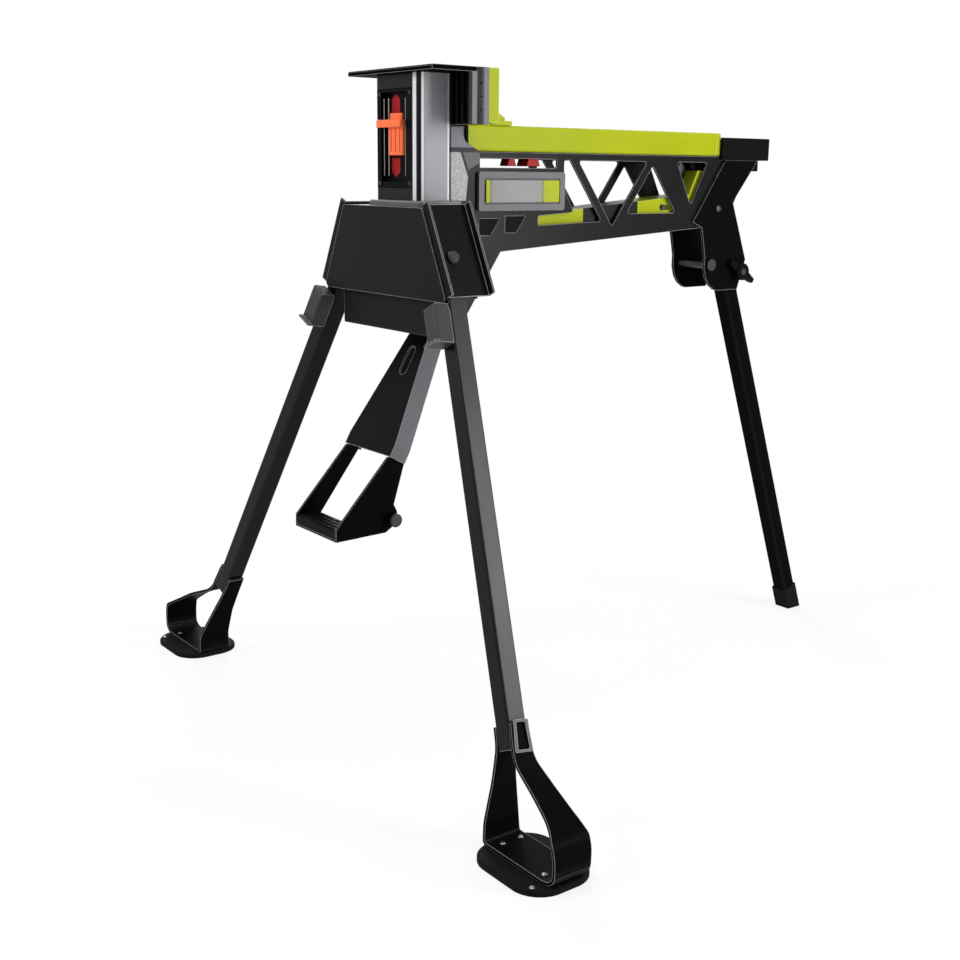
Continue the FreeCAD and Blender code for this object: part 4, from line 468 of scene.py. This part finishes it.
def finish(key):
    """The finish of a name, made the first time that it is asked for.

    The table holds the function that makes each finish, and what that function is given.
    """
    if key in bpy.data.materials:
        return bpy.data.materials[key]
    colours = bpy.context.scene.workbench_colours
    black, lime, lime_edge_highlight = colours.frame_black, colours.lime, colours.lime_edge_highlight
    # Edge colours, partly rubbed paint and partly painted highlight.
    faint_rub_and_highlight, rub, bright_rub_and_highlight = linear("#a8a8ac"), linear("#b4b4b8"), linear("#c4c4c8")
    finishes = {
        "powder_coat_frame": (powder_coat, dict(
            colour=black, roughness=0.45, specular=0.012, rub=faint_rub_and_highlight)),
        "powder_coat_cap": (powder_coat, dict(
            colour=black, roughness=0.5, specular=0.003, rub=faint_rub_and_highlight)),
        "powder_coat_spine": (powder_coat, dict(
            colour=black, roughness=0.3, specular=0.09, rub=rub)),
        # The legs and the pedal carry a painted sheen on their outward sides, a painted highlight.
        "powder_coat_leg": (powder_coat, dict(
            colour=black, roughness=0.2, specular=0.09, rub=rub, painted_sheen=linear("#3e3e41"))),
        "powder_coat_pedal": (powder_coat, dict(
            colour=black, roughness=0.35, specular=0.04, rub=bright_rub_and_highlight,
            painted_sheen=linear("#68676c"))),
        "powder_coat_bracket": (powder_coat, dict(
            colour=colours.bracket_black, roughness=0.4, specular=0.05,
            rub=linear("#d0d0d4"))),
        "powder_coat_cover": (powder_coat, dict(
            colour=colours.cover_black, roughness=0.5, specular=0.04, rub=rub)),
        "powder_coat_grey": (powder_coat, dict(
            colour=colours.collar_grey, roughness=0.42, specular=0.3, rub=linear("#c9c9cd"))),
        # Latches are nylon, with a satin skin and pale edges of rub and painted highlight, as a
        # worn coat.
        "latch_nylon": (powder_coat, dict(
            colour=colours.latch_grey, roughness=0.45, specular=0.25, rub=linear("#c4c4c6"))),
        "ribbed_jaw": (ribbed_jaw, dict(pale=colours.jaw_pewter, dark=colours.jaw_black)),
        # The cheeks carry painted reflections in two greys.
        "pressed_cheek": (pressed_cheek, dict(pale=colours.cheek_bright_reflection, dark=colours.cheek_dim_reflection)),
        "banded_column": (banded_column, dict(pewter=colours.pewter, black=black)),
        "lime_enamel": (gloss_paint, dict(colour=lime, pale=lime_edge_highlight)),
        # The pull channel's black band is painted shade.
        "sleeved_channel": (gloss_paint, dict(colour=lime, pale=lime_edge_highlight, sleeve=mm(-47, 58))),
        "orange_abs": (moulded, dict(colour=colours.orange, roughness=0.4, specular=0.25)),
        "red_nylon": (moulded, dict(colour=colours.signal_red, roughness=0.45, specular=0.15)),
        "black_nylon": (moulded, dict(
            colour=colours.moulded_black, roughness=0.42, specular=0.03)),
        "grey_abs": (moulded, dict(colour=colours.moulded_grey, roughness=0.5, specular=0.25)),
        "pale_abs": (moulded, dict(colour=colours.panel_field, roughness=0.5, specular=0.25)),
        "lime_abs": (moulded, dict(colour=lime, roughness=0.45, specular=0.2)),
        "pad_rubber_green": (moulded_rubber, dict(colour=colours.pad_green)),
        "pad_rubber_grey": (moulded_rubber, dict(colour=colours.pad_grey)),
        "sole_rubber": (moulded_rubber, dict(colour=colours.sole_black)),
        "blued_steel_upright": (ground_steel, dict(
            colour=colours.blued_steel, stretch=(1.0, 1.0, 0.04))),
        "ground_steel_long": (ground_steel, dict(
            colour=colours.steel, stretch=(1.0, 0.04, 1.0))),
        "zinc_plate": (zinc_plate, dict(colour=colours.zinc)),
        "black_oxide": (zinc_plate, dict(colour=colours.oxide)),
    }
    make, given = finishes[key]
    return make(key, **given)


def mm(*values):
    """Millimetres as metres."""
    return np.array(values, float) * MM


def ends_of(name):
    """The two opposite corners of a node's box."""
    low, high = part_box(name)
    return np.array(low, float), np.array(high, float)


def corner_fan(half_across, half_along, count):
    """The corner centres of a rounded rectangle, and the ways out of them, corner by corner.

    Each corner's ways turn through a quarter circle.
    """
    turn = np.linspace(0, math.pi / 2, count)
    quarter = np.stack([np.cos(turn), np.sin(turn)], axis=1)
    ways = np.concatenate([quarter, quarter[:, ::-1] * [-1, 1], -quarter,
                           quarter[:, ::-1] * [1, -1]])
    centres = np.array([[1, 1], [-1, 1], [-1, -1], [1, -1]]) * [half_across, half_along]
    return np.repeat(centres, count, axis=0), ways


def pillow(size, corner, edge, count=5):
    """A block with round upright corners and softened ends, as a stack of rings.

    Each ring is a rounded rectangle. Near both ends the rings draw in along a quarter circle of
    the edge's radius. The edge is no larger than the corner.
    """
    half = np.array(size) / 2
    turn = np.linspace(0, math.pi / 2, count)
    inset = edge * (1 - np.sin(turn))
    rise = edge * (1 - np.cos(turn))
    inset = np.concatenate([inset, inset[::-1]])
    level = np.concatenate([rise - half[2], half[2] - rise[::-1]])
    centres, ways = corner_fan(half[0] - corner, half[1] - corner, count)
    flat = centres + ways * (corner - inset)[:, None, None]
    upright = np.broadcast_to(level[:, None, None], (*flat.shape[:2], 1))
    return np.concatenate([flat, upright], axis=2)


def turned(radii, heights, count=32):
    """A turned form as a stack of rings: each radius swept once round the axis at its height."""
    turn = np.linspace(0, 2 * math.pi, count, endpoint=False)
    radii = np.asarray(radii, float)[:, None]
    level = np.broadcast_to(np.asarray(heights, float)[:, None], (len(radii), count))
    return np.stack([radii * np.cos(turn), radii * np.sin(turn), level], axis=2)


def placed(rings, origin, across=(1, 0, 0), along=(0, 1, 0)):
    """Rings moved to an origin, with their own x and y laid along two directions."""
    across = np.array(across, float)
    along = np.array(along, float)
    turn = np.stack([across, along, np.cross(across, along)])
    return np.asarray(rings) @ turn + np.array(origin, float)


def loft(rings, endless=False):
    """A closed skin over a stack of rings: quads between neighbours and a lid at each end.

    An endless stack has no lids: its last ring is joined to its first. The skin is its points,
    and arrays of faces that hold each face's corners as places in the points.
    """
    rings = np.asarray(rings, float)
    levels, around = rings.shape[:2]
    index = np.arange(levels * around).reshape(levels, around)
    lids = [] if endless else [index[:1, ::-1], index[-1:]]
    if endless:
        index = np.concatenate([index, index[:1]])
    after = np.roll(index, -1, axis=1)
    quads = np.stack([index[:-1], after[:-1], after[1:], index[1:]], axis=-1).reshape(-1, 4)
    return rings.reshape(-1, 3), [quads, *lids]


def block(low, high, corner, edge):
    """A closed pillow between two opposite corners."""
    return loft(placed(pillow(high - low, corner, edge), (low + high) / 2))


def prism(outline, axis, ends):
    """A flat outline carried straight along an axis, from one end to the other.

    The outline's rows hold the bench's other two axes, in their order.
    """
    return loft([np.insert(outline, axis, end, axis=1) for end in ends])


def softened(line, cuts, count=7):
    """A broken line with soft corners, given as rows whose first two values are its plane.

    Round each inner corner it takes the quadratic Bezier arc from a point the corner's cut
    before it to one as far behind it, with the corner as the arc's control point. A cut takes
    just under half of a run at most, so that neighbouring arcs don't cross.
    """
    before, corner, after = line[:-2], line[1:-1], line[2:]
    most = 0.48

    def toward(far):
        """The point on the way from each corner to its neighbour, a cut away from it."""
        step = far - corner
        share = np.minimum(cuts / np.linalg.norm(step[:, :2], axis=1), most)
        return corner + step * share[:, None]

    turn = np.linspace(0, 1, count)[:, None, None]
    arcs = ((1 - turn) ** 2 * toward(before) + 2 * turn * (1 - turn) * corner
            + turn ** 2 * toward(after))
    arcs = arcs.swapaxes(0, 1).reshape(-1, line.shape[1])
    return np.concatenate([line[:1], arcs, line[-1:]])


def strip(line, thickness):
    """Rings of a flat strip along a line, whose rows hold x, z and the strip's two edges in y.

    Half the thickness lies to each side of the line. At each row it is laid along the sum of the
    neighbouring runs' normals over one plus their dot product, so that bends keep the thickness.
    """
    run = np.diff(line[:, :2], axis=0)
    run /= np.linalg.norm(run, axis=1)[:, None]
    normal = run[:, ::-1] * [-1, 1]
    first = np.concatenate([normal[:1], normal])
    second = np.concatenate([normal, normal[-1:]])
    mitre = (first + second) / (1 + np.sum(first * second, axis=1))[:, None]
    over, under = (line[:, :2] + way * mitre * thickness / 2 for way in (1, -1))
    return np.stack([np.stack([spot[:, 0], line[:, edge], spot[:, 1]], axis=1)
                     for spot, edge in ((over, 2), (over, 3), (under, 3), (under, 2))], axis=1)


def shell(name, skins, material, body):
    """One object from closed skins, smooth but for its sharp edges, that rides on a body."""
    points, faces, start = [], [], 0
    for spots, groups in skins:
        points.append(spots)
        for group in groups:
            faces += (group + start).tolist()
        start += len(spots)
    mesh = bpy.data.meshes.new(name)
    mesh.from_pydata(np.concatenate(points).tolist(), [], faces)
    work = bmesh.new()
    work.from_mesh(mesh)
    bmesh.ops.recalc_face_normals(work, faces=work.faces)
    work.to_mesh(mesh)
    work.free()
    mesh.polygons.foreach_set("use_smooth", np.ones(len(mesh.polygons), bool))
    mesh.set_sharp_from_angle(angle=SHARP_FROM)
    mesh.materials.append(material)
    piece = bpy.data.objects.new(name, mesh)
    bpy.context.scene.collection.objects.link(piece)
    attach(piece, body)
    return piece


class PieceOperator:
    """What the operators that dress the bench have in common."""
    bl_options = {"REGISTER", "UNDO"}

    @classmethod
    def poll(cls, context):
        """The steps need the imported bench."""
        return bool(frame["nodes"])


class WORKBENCH_OT_head(PieceOperator, bpy.types.Operator):
    """Dresses the pressed head: deck, cover, cross member, wings, leg brackets and bolts."""
    bl_idname = "workbench.head"
    bl_label = "Head"

    def execute(self, context):
        dress(finish("powder_coat_cover"), "front_cover", "head_deck", "cross_member")
        dress(finish("powder_coat_frame"), *both("head_back"))
        dress(finish("powder_coat_bracket"), *both("leg_bracket"))
        dress(finish("powder_coat_grey"), "column_collar")
        dress(finish("pressed_cheek"), *both("head_side"))
        dress(finish("black_oxide"), "leg_bolts")
        return {"FINISHED"}


class WORKBENCH_OT_column(PieceOperator, bpy.types.Operator):
    """Dresses the column and the plate behind it."""
    bl_idname = "workbench.column"
    bl_label = "Column"

    def execute(self, context):
        dress(finish("banded_column"), "column")
        dress(finish("powder_coat_frame"), "column_plate")
        return {"FINISHED"}


class WORKBENCH_OT_switch(PieceOperator, bpy.types.Operator):
    """Dresses the mode switch and makes its slider, its two pointers and the slot's rails."""
    bl_idname = "workbench.switch"
    bl_label = "Mode switch"

    def execute(self, context):
        dress(finish("black_nylon"), "switch_bezel", "switch_rail")
        dress(finish("black_oxide"), "bezel_screws")
        self.slider()
        self.pointers()
        self.rails()
        return {"FINISHED"}

    @staticmethod
    def slider():
        """A thumb slider: a body in two steps, a paddle across it and three ridges below.

        Each row gives where a block starts from the node's low corner and ends from its high
        one, and the radii of its upright corners and of its other edges, in millimetres.
        """
        low, high = ends_of("mode_slider")
        blocks = [((25, 11, 0), (-9.5, -0.8, -14), 2.5, 0.8),
                  ((28, 11.5, 36), (-12, -4, 0), 2.5, 0.8),
                  ((6, 4.5, 34.5), (-5, -7, -8), 2.5, 1.2)]
        blocks += [((30 + step, 10, 5), (-34 + step, -9, -19), 1, 0.8) for step in (0, 10, 20)]
        skins = [block(low + mm(*first), high + mm(*last), corner * MM, edge * MM)
                 for first, last, corner, edge in blocks]
        grip = shell("slider_grip", skins, finish("orange_abs"), "slider")
        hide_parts("mode_slider")

    @staticmethod
    def pointers():
        """Two flat arrows up and down the slot: a square base and a point, cut from one plate."""
        low, high = ends_of("mode_marks")
        slot_offset, half, reach, neck_share = 16 * MM, 9.5 * MM, 25 * MM, 0.3
        middle = (low[0] + high[0]) / 2 - slot_offset
        skins = []
        for tip, way in ((high[2], -1), (low[2], 1)):
            base = tip + way * reach
            neck = tip + way * reach * neck_share
            outline = [(middle - half, base), (middle + half, base), (middle + half, neck),
                       (middle, tip), (middle - half, neck)]
            skins.append(prism(outline, 1, (low[1], high[1])))
        arrows = shell("pointers", skins, finish("red_nylon"), "bench")
        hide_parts("mode_marks")

    @staticmethod
    def rails():
        """Three upright rails before the switch panel, each a thin block.

        Each row gives how far a rail stands in from the panel's left edge, and its width, in
        millimetres, as are the rails' ends and faces, measured from the panel's.
        """
        low, high = ends_of("switch_bezel")
        foot, head, front, back = 15, 11, 1.6, 3.4
        skins = [block(low + mm(out, front, foot), np.array([low[0], low[1], high[2]])
                       + mm(out + wide, back, -head), 0.5 * MM, 0.3 * MM)
                 for out, wide in ((11.6, 1.4), (22.0, 1.8), (60.8, 1.2))]
        shell("slot_rails", skins, finish("zinc_plate"), "bench")


class WORKBENCH_OT_jaws(PieceOperator, bpy.types.Operator):
    """Dresses the fixed and the moving jaw, and lays the plate on the moving jaw's shoe."""
    bl_idname = "workbench.jaws"
    bl_label = "Jaws"

    def execute(self, context):
        dress(finish("powder_coat_cap"), "jaw_cap")
        dress(finish("ribbed_jaw"), "fixed_jaw")
        dress(finish("pad_rubber_green"), "fixed_jaw_pad")
        dress(finish("pad_rubber_grey"), "moving_jaw_pad")
        dress(finish("blued_steel_upright"), "moving_jaw_plate")
        dress(finish("lime_enamel"), "moving_jaw")
        dress(finish("zinc_plate"), "jaw_bolts")
        # The plate lies across the beam's width, on the low front end of the jaw's shoe.
        low, high = mm(-31, -216, 807.2), mm(31.5, -181, 813.2)
        plate = block(low, high, corner=2 * MM, edge=1.2 * MM)
        shell("shoe_plate", [plate], finish("lime_enamel"), "beam")
        return {"FINISHED"}


class WORKBENCH_OT_beam(PieceOperator, bpy.types.Operator):
    """Dresses the clamp beam with its carrier, buffer, cap and rack."""
    bl_idname = "workbench.beam"
    bl_label = "Clamp beam"

    def execute(self, context):
        dress(finish("lime_enamel"), "clamp_beam")
        dress(finish("grey_abs"), "beam_carrier")
        dress(finish("sole_rubber"), "beam_buffer")
        dress(finish("lime_abs"), "beam_end_cap")
        dress(finish("ground_steel_long"), "drive_rack")
        return {"FINISHED"}


class WORKBENCH_OT_spine(PieceOperator, bpy.types.Operator):
    """Dresses the spine, and makes its guide wedges and dark sheets of painted shade in its
    recesses.
    """
    bl_idname = "workbench.spine"
    bl_label = "Spine"

    def execute(self, context):
        dress(finish("powder_coat_spine"), *both("truss"))
        dress(finish("sleeved_channel"), "pull_channel")
        dress(finish("black_oxide"), "spine_pins", "drive_pin")
        dress(finish("ground_steel_long"), "hold_pawl", "drive_pawl")
        self.pocket_shade()
        self.wedges()
        return {"FINISHED"}

    @staticmethod
    def pocket_shade():
        """Dark sheets of painted shade in the side plates' two blind recesses, each with one
        slanting side.

        Each place is a recess's lower front corner, in millimetres.
        """
        base_width, top_width, height = 18.8, 34.4, 21.6
        skins = []
        for side in (-1, 1):
            for front, base in ((-234.8, 665.2), (-190.8, 668.1)):
                outline = mm(front, base, front + base_width, base, front + top_width,
                             base + height, front, base + height).reshape(-1, 2)
                skins.append(prism(outline, 0, side * mm(29.4, 29.8)))
        # Black sheets of painted shade, where the recesses lie in shade.
        shell("pocket_painted_shade", skins, finish("black_nylon"), "bench")

    @staticmethod
    def wedges():
        """Guide wedges under the beam, narrower at their top: red on the right, black on the left.

        Each pair of places gives how far behind the blocks' front a wedge starts and ends, in
        millimetres.
        """
        low, high = ends_of("guide_blocks")
        draw_in = 6
        for side, places, coat in ((1, ((4, 18), (37, 60)), "red_nylon"),
                                   (-1, ((38, 50), (64, 78)), "black_nylon")):
            skins = []
            for start, end in places:
                along = low[1] + mm(start, end, end - draw_in, start + draw_in)
                outline = np.stack([along, [low[2], low[2], high[2], high[2]]], axis=1)
                skins.append(prism(outline, 0, side * mm(11, 28)))
            blocks = shell("guide_wedges_" + coat, skins, finish(coat), "bench")
            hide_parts("guide_blocks")


class WORKBENCH_OT_side_panel(PieceOperator, bpy.types.Operator):
    """Dresses the side panel and lays a bare field between two lime plates on it."""
    bl_idname = "workbench.side_panel"
    bl_label = "Side panel"

    def execute(self, context):
        dress(finish("grey_abs"), "side_panel")
        low, high = ends_of("side_panel")
        rim, thickness, proud, corner, edge = mm(11, 1.2, 0.2, 1.2, 0.4)
        face = high[0] + proud
        # How far behind the rim each plate starts and ends, in millimetres.
        for name, start, end, material in (("panel_end_front", 0, 7, "lime_abs"),
                                           ("panel_field", 8, 96, "pale_abs"),
                                           ("panel_end_rear", 97, 126, "lime_abs")):
            first = np.array([face - thickness, low[1] + rim + start * MM, low[2] + rim])
            last = np.array([face, low[1] + rim + end * MM, high[2] - rim])
            flat_size = (last - first)[[1, 2, 0]]
            plate = placed(pillow(flat_size, corner, edge), (first + last) / 2,
                           across=(0, 1, 0), along=(0, 0, 1))
            shell(name, [loft(plate)], finish(material), "bench")
        return {"FINISHED"}


class WORKBENCH_OT_front_legs(PieceOperator, bpy.types.Operator):
    """Dresses the two front legs and their latches."""
    bl_idname = "workbench.front_legs"
    bl_label = "Front legs"

    def execute(self, context):
        dress(finish("powder_coat_leg"), *both("front_leg"))
        dress(finish("latch_nylon"), *both("leg_latch"))
        return {"FINISHED"}


class WORKBENCH_OT_feet(PieceOperator, bpy.types.Operator):
    """Dresses the soles and makes the straps over them, with their rivets and keepers."""
    bl_idname = "workbench.feet"
    bl_label = "Feet"

    def execute(self, context):
        dress(finish("sole_rubber"), *both("foot_sole"))
        for side, name in ((-1, "left"), (1, "right")):
            fixings = "foot_fixings_" + name
            rivets = shell("rivets_" + name, self.rivets(side, name), finish("zinc_plate"),
                           "leg_" + name)
            strap = shell("foot_stirrup_" + name, [loft(self.stirrup(side))],
                          finish("powder_coat_frame"), "leg_" + name)
            keeper = shell("keeper_" + name, [loft(self.keeper(side), endless=True)],
                           finish("powder_coat_pedal"), "leg_" + name)
            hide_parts("foot_strap_" + name)
            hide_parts(fixings)
            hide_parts(fixings)
        return {"FINISHED"}

    @staticmethod
    def rivets(side, name):
        """Domed rivet heads, turned: three through the strap and one in the sole's outer rim.

        Each place gives how far a rivet stands out from the sole's inner edge, back from its
        front edge and up from the floor, in millimetres.
        """
        low, high = ends_of("foot_sole_" + name)
        inner = low[0] if side > 0 else high[0]
        dome = turned([3.4, 3.4, 2.6, 1.4], [-0.3, 0.4, 1.1, 1.5]) * MM
        places = ((18.5, 41.2, 11), (18.5, 66.7, 11), (98.1, 36.1, 11), (105.5, 13, 7))
        return [loft(placed(dome, (inner + side * out * MM, low[1] + back * MM, level * MM)))
                for out, back, level in places]

    @staticmethod
    def stirrup(side):
        """The strap under a leg, from its tab inside the leg round the sole to its outer tongue.

        Its line is a broken line with soft corners, in millimetres, and the strip widens from
        tab to floor.
        """
        line = np.array([(336.7, 128.0, -436.5, -411.3), (346.9, 106.8, -441.0, -414.6),
                         (358.0, 74.0, -455.0, -422.0), (368.5, 34.0, -474.0, -426.0),
                         (369.0, 9.0, -475.0, -424.0), (490.8, 9.0, -475.0, -424.0),
                         (490.8, 42.0, -475.0, -423.0), (486.5, 56.0, -475.0, -423.0),
                         (472.0, 64.5, -466.0, -423.0), (459.0, 71.4, -461.0, -423.5),
                         (434.0, 84.6, -456.0, -423.5), (382.5, 103.5, -444.0, -416.5),
                         (364.1, 142.0, -436.2, -411.2)])
        cuts = np.array([8, 8, 8, 5, 24, 8, 3, 6, 6, 14, 16], float)
        return strip(softened(line, cuts) * [side, 1, 1, 1] * MM, 4 * MM)

    @staticmethod
    def keeper(side):
        """A pressed loop on the strap's tongue: a tapered frame that narrows up the leg.

        Its outline is a broken line with soft corners, across and up the leg. The opening is the
        same outline drawn in towards its centre. Both are raised from the leg's middle line to
        the loop's two faces, and the four rings close on themselves.
        """
        middle = mm(side * 354.2, -425.1, 126.7)
        splay, lean = math.radians(25.7), math.radians(8.22)
        turn = np.array(Matrix.Rotation(-side * splay, 3, "Y") @ Matrix.Rotation(-lean, 3, "X"))
        outline = np.array([(-11, -6), (-12.5, -25), (12.5, -25), (9.5, 12), (-9.5, 12),
                            (-11, -6)], float)
        outline = softened(outline, np.full(4, 3.0))[:-1]
        centre = np.array([0, -6.5])
        opening = centre + (outline - centre) * [0.64, 0.84]
        under, over = 17.0 * side, 20.0 * side
        rings = [np.insert(loop, 2, level, axis=1) * MM
                 for loop, level in ((outline, under), (outline, over), (opening, over),
                                     (opening, under))]
        return placed(rings, middle, across=turn[:, 1], along=turn[:, 2])


class WORKBENCH_OT_pedal(PieceOperator, bpy.types.Operator):
    """Dresses the pedal's arm, stirrup, tread and pins."""
    bl_idname = "workbench.pedal"
    bl_label = "Pedal"

    def execute(self, context):
        dress(finish("powder_coat_pedal"), "pedal_arm")
        dress(finish("powder_coat_frame"), "pedal_stirrup")
        dress(finish("black_nylon"), "pedal_tread")
        dress(finish("black_oxide"), "pedal_pins")
        return {"FINISHED"}


class WORKBENCH_OT_rear_leg(PieceOperator, bpy.types.Operator):
    """Dresses the rear leg with its fittings, and makes the plates of its bracket."""
    bl_idname = "workbench.rear_leg"
    bl_label = "Rear leg"

    def execute(self, context):
        dress(finish("powder_coat_frame"), "rear_leg")
        dress(finish("black_nylon"), "rear_saddle", "wing_knob")
        dress(finish("sole_rubber"), "rear_leg_cup")
        dress(finish("black_oxide"), "rear_bolts")
        # The bracket from the side, y and z by turns: wide under the beam and down to the leg.
        outline = mm(228, 768, 164, 677, 184, 668, 193, 625, 193, 606, 197, 592, 205, 581, 216,
                     574, 222, 572.5, 268, 572.5, 284, 618, 249, 706, 300, 768).reshape(-1, 2)
        for name in both("rear_yoke"):
            low, high = ends_of(name)
            yoke = shell(name + "_plate", [prism(outline, 0, (low[0], high[0]))],
                         finish("powder_coat_frame"), "bench")
            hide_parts(name)
        dome = turned([5.5, 5.5, 4.4, 2.4], [-0.5, 1.5, 3.0, 3.6]) * MM
        outside = ends_of("rear_yoke_right")[1][0]
        spot = (outside, 216 * MM, 696 * MM)
        rivet = placed(dome, spot, across=(0, 1, 0), along=(0, 0, 1))
        shell("yoke_rivet", [loft(rivet)], finish("black_oxide"), "bench")
        return {"FINISHED"}


def seen_plainly(tree):
    """1 where the camera, a mirror or glass looks straight at something, 0 for its light."""
    rays = add(tree, "LightPath")
    seen = add(tree, "Math", {0: rays.outputs["Is Camera Ray"],
                              1: rays.outputs["Is Glossy Ray"]}, operation="MAXIMUM")
    return add(tree, "Math", {0: seen.outputs["Value"],
                              1: rays.outputs["Is Transmission Ray"]},
               operation="MAXIMUM").outputs["Value"]


def studio_light(name, place, aim, width, height, power):
    """A soft rectangular lamp that faces a point."""
    lamp = bpy.data.lights.new(name, "AREA")
    lamp.shape = "RECTANGLE"
    lamp.size = width
    lamp.size_y = height
    lamp.energy = power
    holder = bpy.data.objects.new(name, lamp)
    way = Vector(aim) - Vector(place)
    turn = way.to_track_quat("-Z", "Y").to_matrix().to_4x4()
    holder.matrix_world = Matrix.Translation(place) @ turn
    bpy.context.scene.collection.objects.link(holder)


class WORKBENCH_OT_stage(PieceOperator, bpy.types.Operator):
    """Sets the studio: a white floor that keeps the shadow, soft lamps, a white room and camera."""
    bl_idname = "workbench.stage"
    bl_label = "Studio"

    def execute(self, context):
        scene = context.scene
        self.floor(scene)
        # Each lamp's place, the point that it faces, its width, its height and its power.
        studio_light("softbox_right", (2.05, 1.05, 0.7), (0.2, -0.3, 0.5), 0.5, 1.25, 28)
        studio_light("softbox_high", (2.05, 1.25, 1.6), (0.2, -0.3, 0.5), 0.4, 0.6, 11)
        studio_light("softbox_front", (-0.5, -3.0, 2.2), (0, -0.2, 0.5), 1.2, 1.2, 42)
        studio_light("softbox_left", (-2.5, 0.9, 1.6), (0, -0.1, 0.5), 1.2, 1.2, 36)
        studio_light("softbox_top", (0.2, -0.2, 2.8), (0, 0, 0), 2.0, 2.0, 30)
        self.room(scene)
        scene.view_settings.view_transform = "Standard"
        self.camera(scene)
        return {"FINISHED"}

    @classmethod
    def floor(cls, scene):
        """A flat square grid just under the soles."""
        reach, squares, drop = scene.workbench_sizes.floor_reach, 24, 0.3 * MM
        grid = np.linspace(-reach, reach, squares + 1)
        across, along = np.meshgrid(grid, grid, indexing="ij")
        spots = np.stack([across, along, np.full_like(across, -drop)], axis=2)
        index = np.arange(spots.shape[0] * spots.shape[1]).reshape(spots.shape[:2])
        quads = np.stack([index[:-1, :-1], index[1:, :-1], index[1:, 1:], index[:-1, 1:]],
                         axis=-1).reshape(-1, 4)
        mesh = bpy.data.meshes.new("studio_floor")
        mesh.from_pydata(spots.reshape(-1, 3).tolist(), [], quads.tolist())
        mesh.materials.append(cls.floor_paint(scene.workbench_colours.floor))
        sheet = bpy.data.objects.new("studio_floor", mesh)
        scene.collection.objects.link(sheet)
        return sheet

    @staticmethod
    def floor_paint(colour):
        """Matt white studio paint, rolled on.

        Seen directly it is mostly plain white. The matt paint's share, which holds the shadow,
        is a fifth round the bench and fades out away from it.
        """
        shadow_reach, fade_reach = 0.5, 1.7
        material, tree, place = blank("studio_floor_paint")
        reach = add(tree, "VectorMath", {0: place}, operation="LENGTH")
        plain = add(tree, "MapRange", {"Value": reach.outputs["Value"],
                                       "From Min": shadow_reach, "From Max": fade_reach,
                                       "To Min": 0.8}, interpolation_type="SMOOTHSTEP")
        share = add(tree, "Math", {0: seen_plainly(tree), 1: plain.outputs["Result"]},
                    operation="MULTIPLY")
        clouds = add(tree, "TexNoise", {"Vector": place, "Scale": per_metre(600 * MM)})
        matt = add(tree, "BsdfDiffuse", {"Color": toned(tree, colour[:3],
                                                        clouds.outputs["Fac"], 0.98, 1.0)})
        white = add(tree, "Emission", {"Color": WHITE, "Strength": 1.0})
        mixed = add(tree, "MixShader", {0: share.outputs["Value"], 1: matt.outputs["BSDF"],
                                        2: white.outputs["Emission"]})
        add(tree, "OutputMaterial", {"Surface": mixed.outputs["Shader"]})
        return material

    @staticmethod
    def room(scene):
        """A white room where it is seen or mirrored, and a softer light elsewhere."""
        world = scene.world or bpy.data.worlds.new("room")
        scene.world = world
        world.use_nodes = True
        tree = world.node_tree
        tree.nodes.clear()
        soft = add(tree, "Background", {"Color": WHITE, "Strength": 0.32})
        white = add(tree, "Background", {"Color": WHITE, "Strength": 1.0})
        mixed = add(tree, "MixShader", {0: seen_plainly(tree), 1: soft.outputs["Background"],
                                        2: white.outputs["Background"]})
        add(tree, "OutputWorld", {"Surface": mixed.outputs["Shader"]})

    @staticmethod
    def camera(scene):
        """The photograph's view: from the right front, a little above the bench's middle."""
        heading, fall, roll = (math.radians(angle) for angle in (52.86, 13.33, 0.557))
        camera = bpy.data.objects.new("camera", bpy.data.cameras.new("camera"))
        scene.collection.objects.link(camera)
        camera.data.sensor_fit = "HORIZONTAL"
        camera.data.sensor_width = 36
        camera.data.lens = 48.84
        turn = (Matrix.Rotation(heading, 4, "Z") @ Matrix.Rotation(math.pi / 2 - fall, 4, "X")
                @ Matrix.Rotation(roll, 4, "Z"))
        camera.matrix_world = Matrix.Translation((1.430717, -1.289144, 0.747985)) @ turn
        scene.camera = camera


STEPS = (WORKBENCH_OT_head, WORKBENCH_OT_column, WORKBENCH_OT_switch, WORKBENCH_OT_jaws,
         WORKBENCH_OT_beam, WORKBENCH_OT_spine, WORKBENCH_OT_side_panel,
         WORKBENCH_OT_front_legs, WORKBENCH_OT_feet, WORKBENCH_OT_pedal,
         WORKBENCH_OT_rear_leg, WORKBENCH_OT_stage)


class WORKBENCH_PT_looks(bpy.types.Panel):
    """Lists the steps that dress the bench, with its colours and small lengths."""
    bl_idname = "WORKBENCH_PT_looks"
    bl_label = "Workbench"
    bl_space_type = "VIEW_3D"
    bl_region_type = "UI"
    bl_category = "Workbench"

    def draw(self, context):
        layout = self.layout
        for step in STEPS:
            layout.operator(step.bl_idname)
        for group in (context.scene.workbench_colours, context.scene.workbench_sizes):
            box = layout.box()
            for name in group.bl_rna.properties.keys():
                if name not in ("rna_type", "name"):
                    box.prop(group, name)


CLASSES = (WorkbenchColours, WorkbenchSizes, *STEPS, WORKBENCH_PT_looks)


def register():
    """Adds the classes, and the colours and lengths of the scene."""
    for item in CLASSES:
        bpy.utils.register_class(item)
    bpy.types.Scene.workbench_colours = PointerProperty(type=WorkbenchColours)
    bpy.types.Scene.workbench_sizes = PointerProperty(type=WorkbenchSizes)


def unregister():
    """Takes away what register added, last first."""
    del bpy.types.Scene.workbench_sizes
    del bpy.types.Scene.workbench_colours
    for item in reversed(CLASSES):
        bpy.utils.unregister_class(item)


def main():
    """Dresses the bench step by step."""
    register()
    for step in STEPS:
        category, name = step.bl_idname.split(".")
        getattr(getattr(bpy.ops, category), name)()


if __name__ == "__main__":
    main()
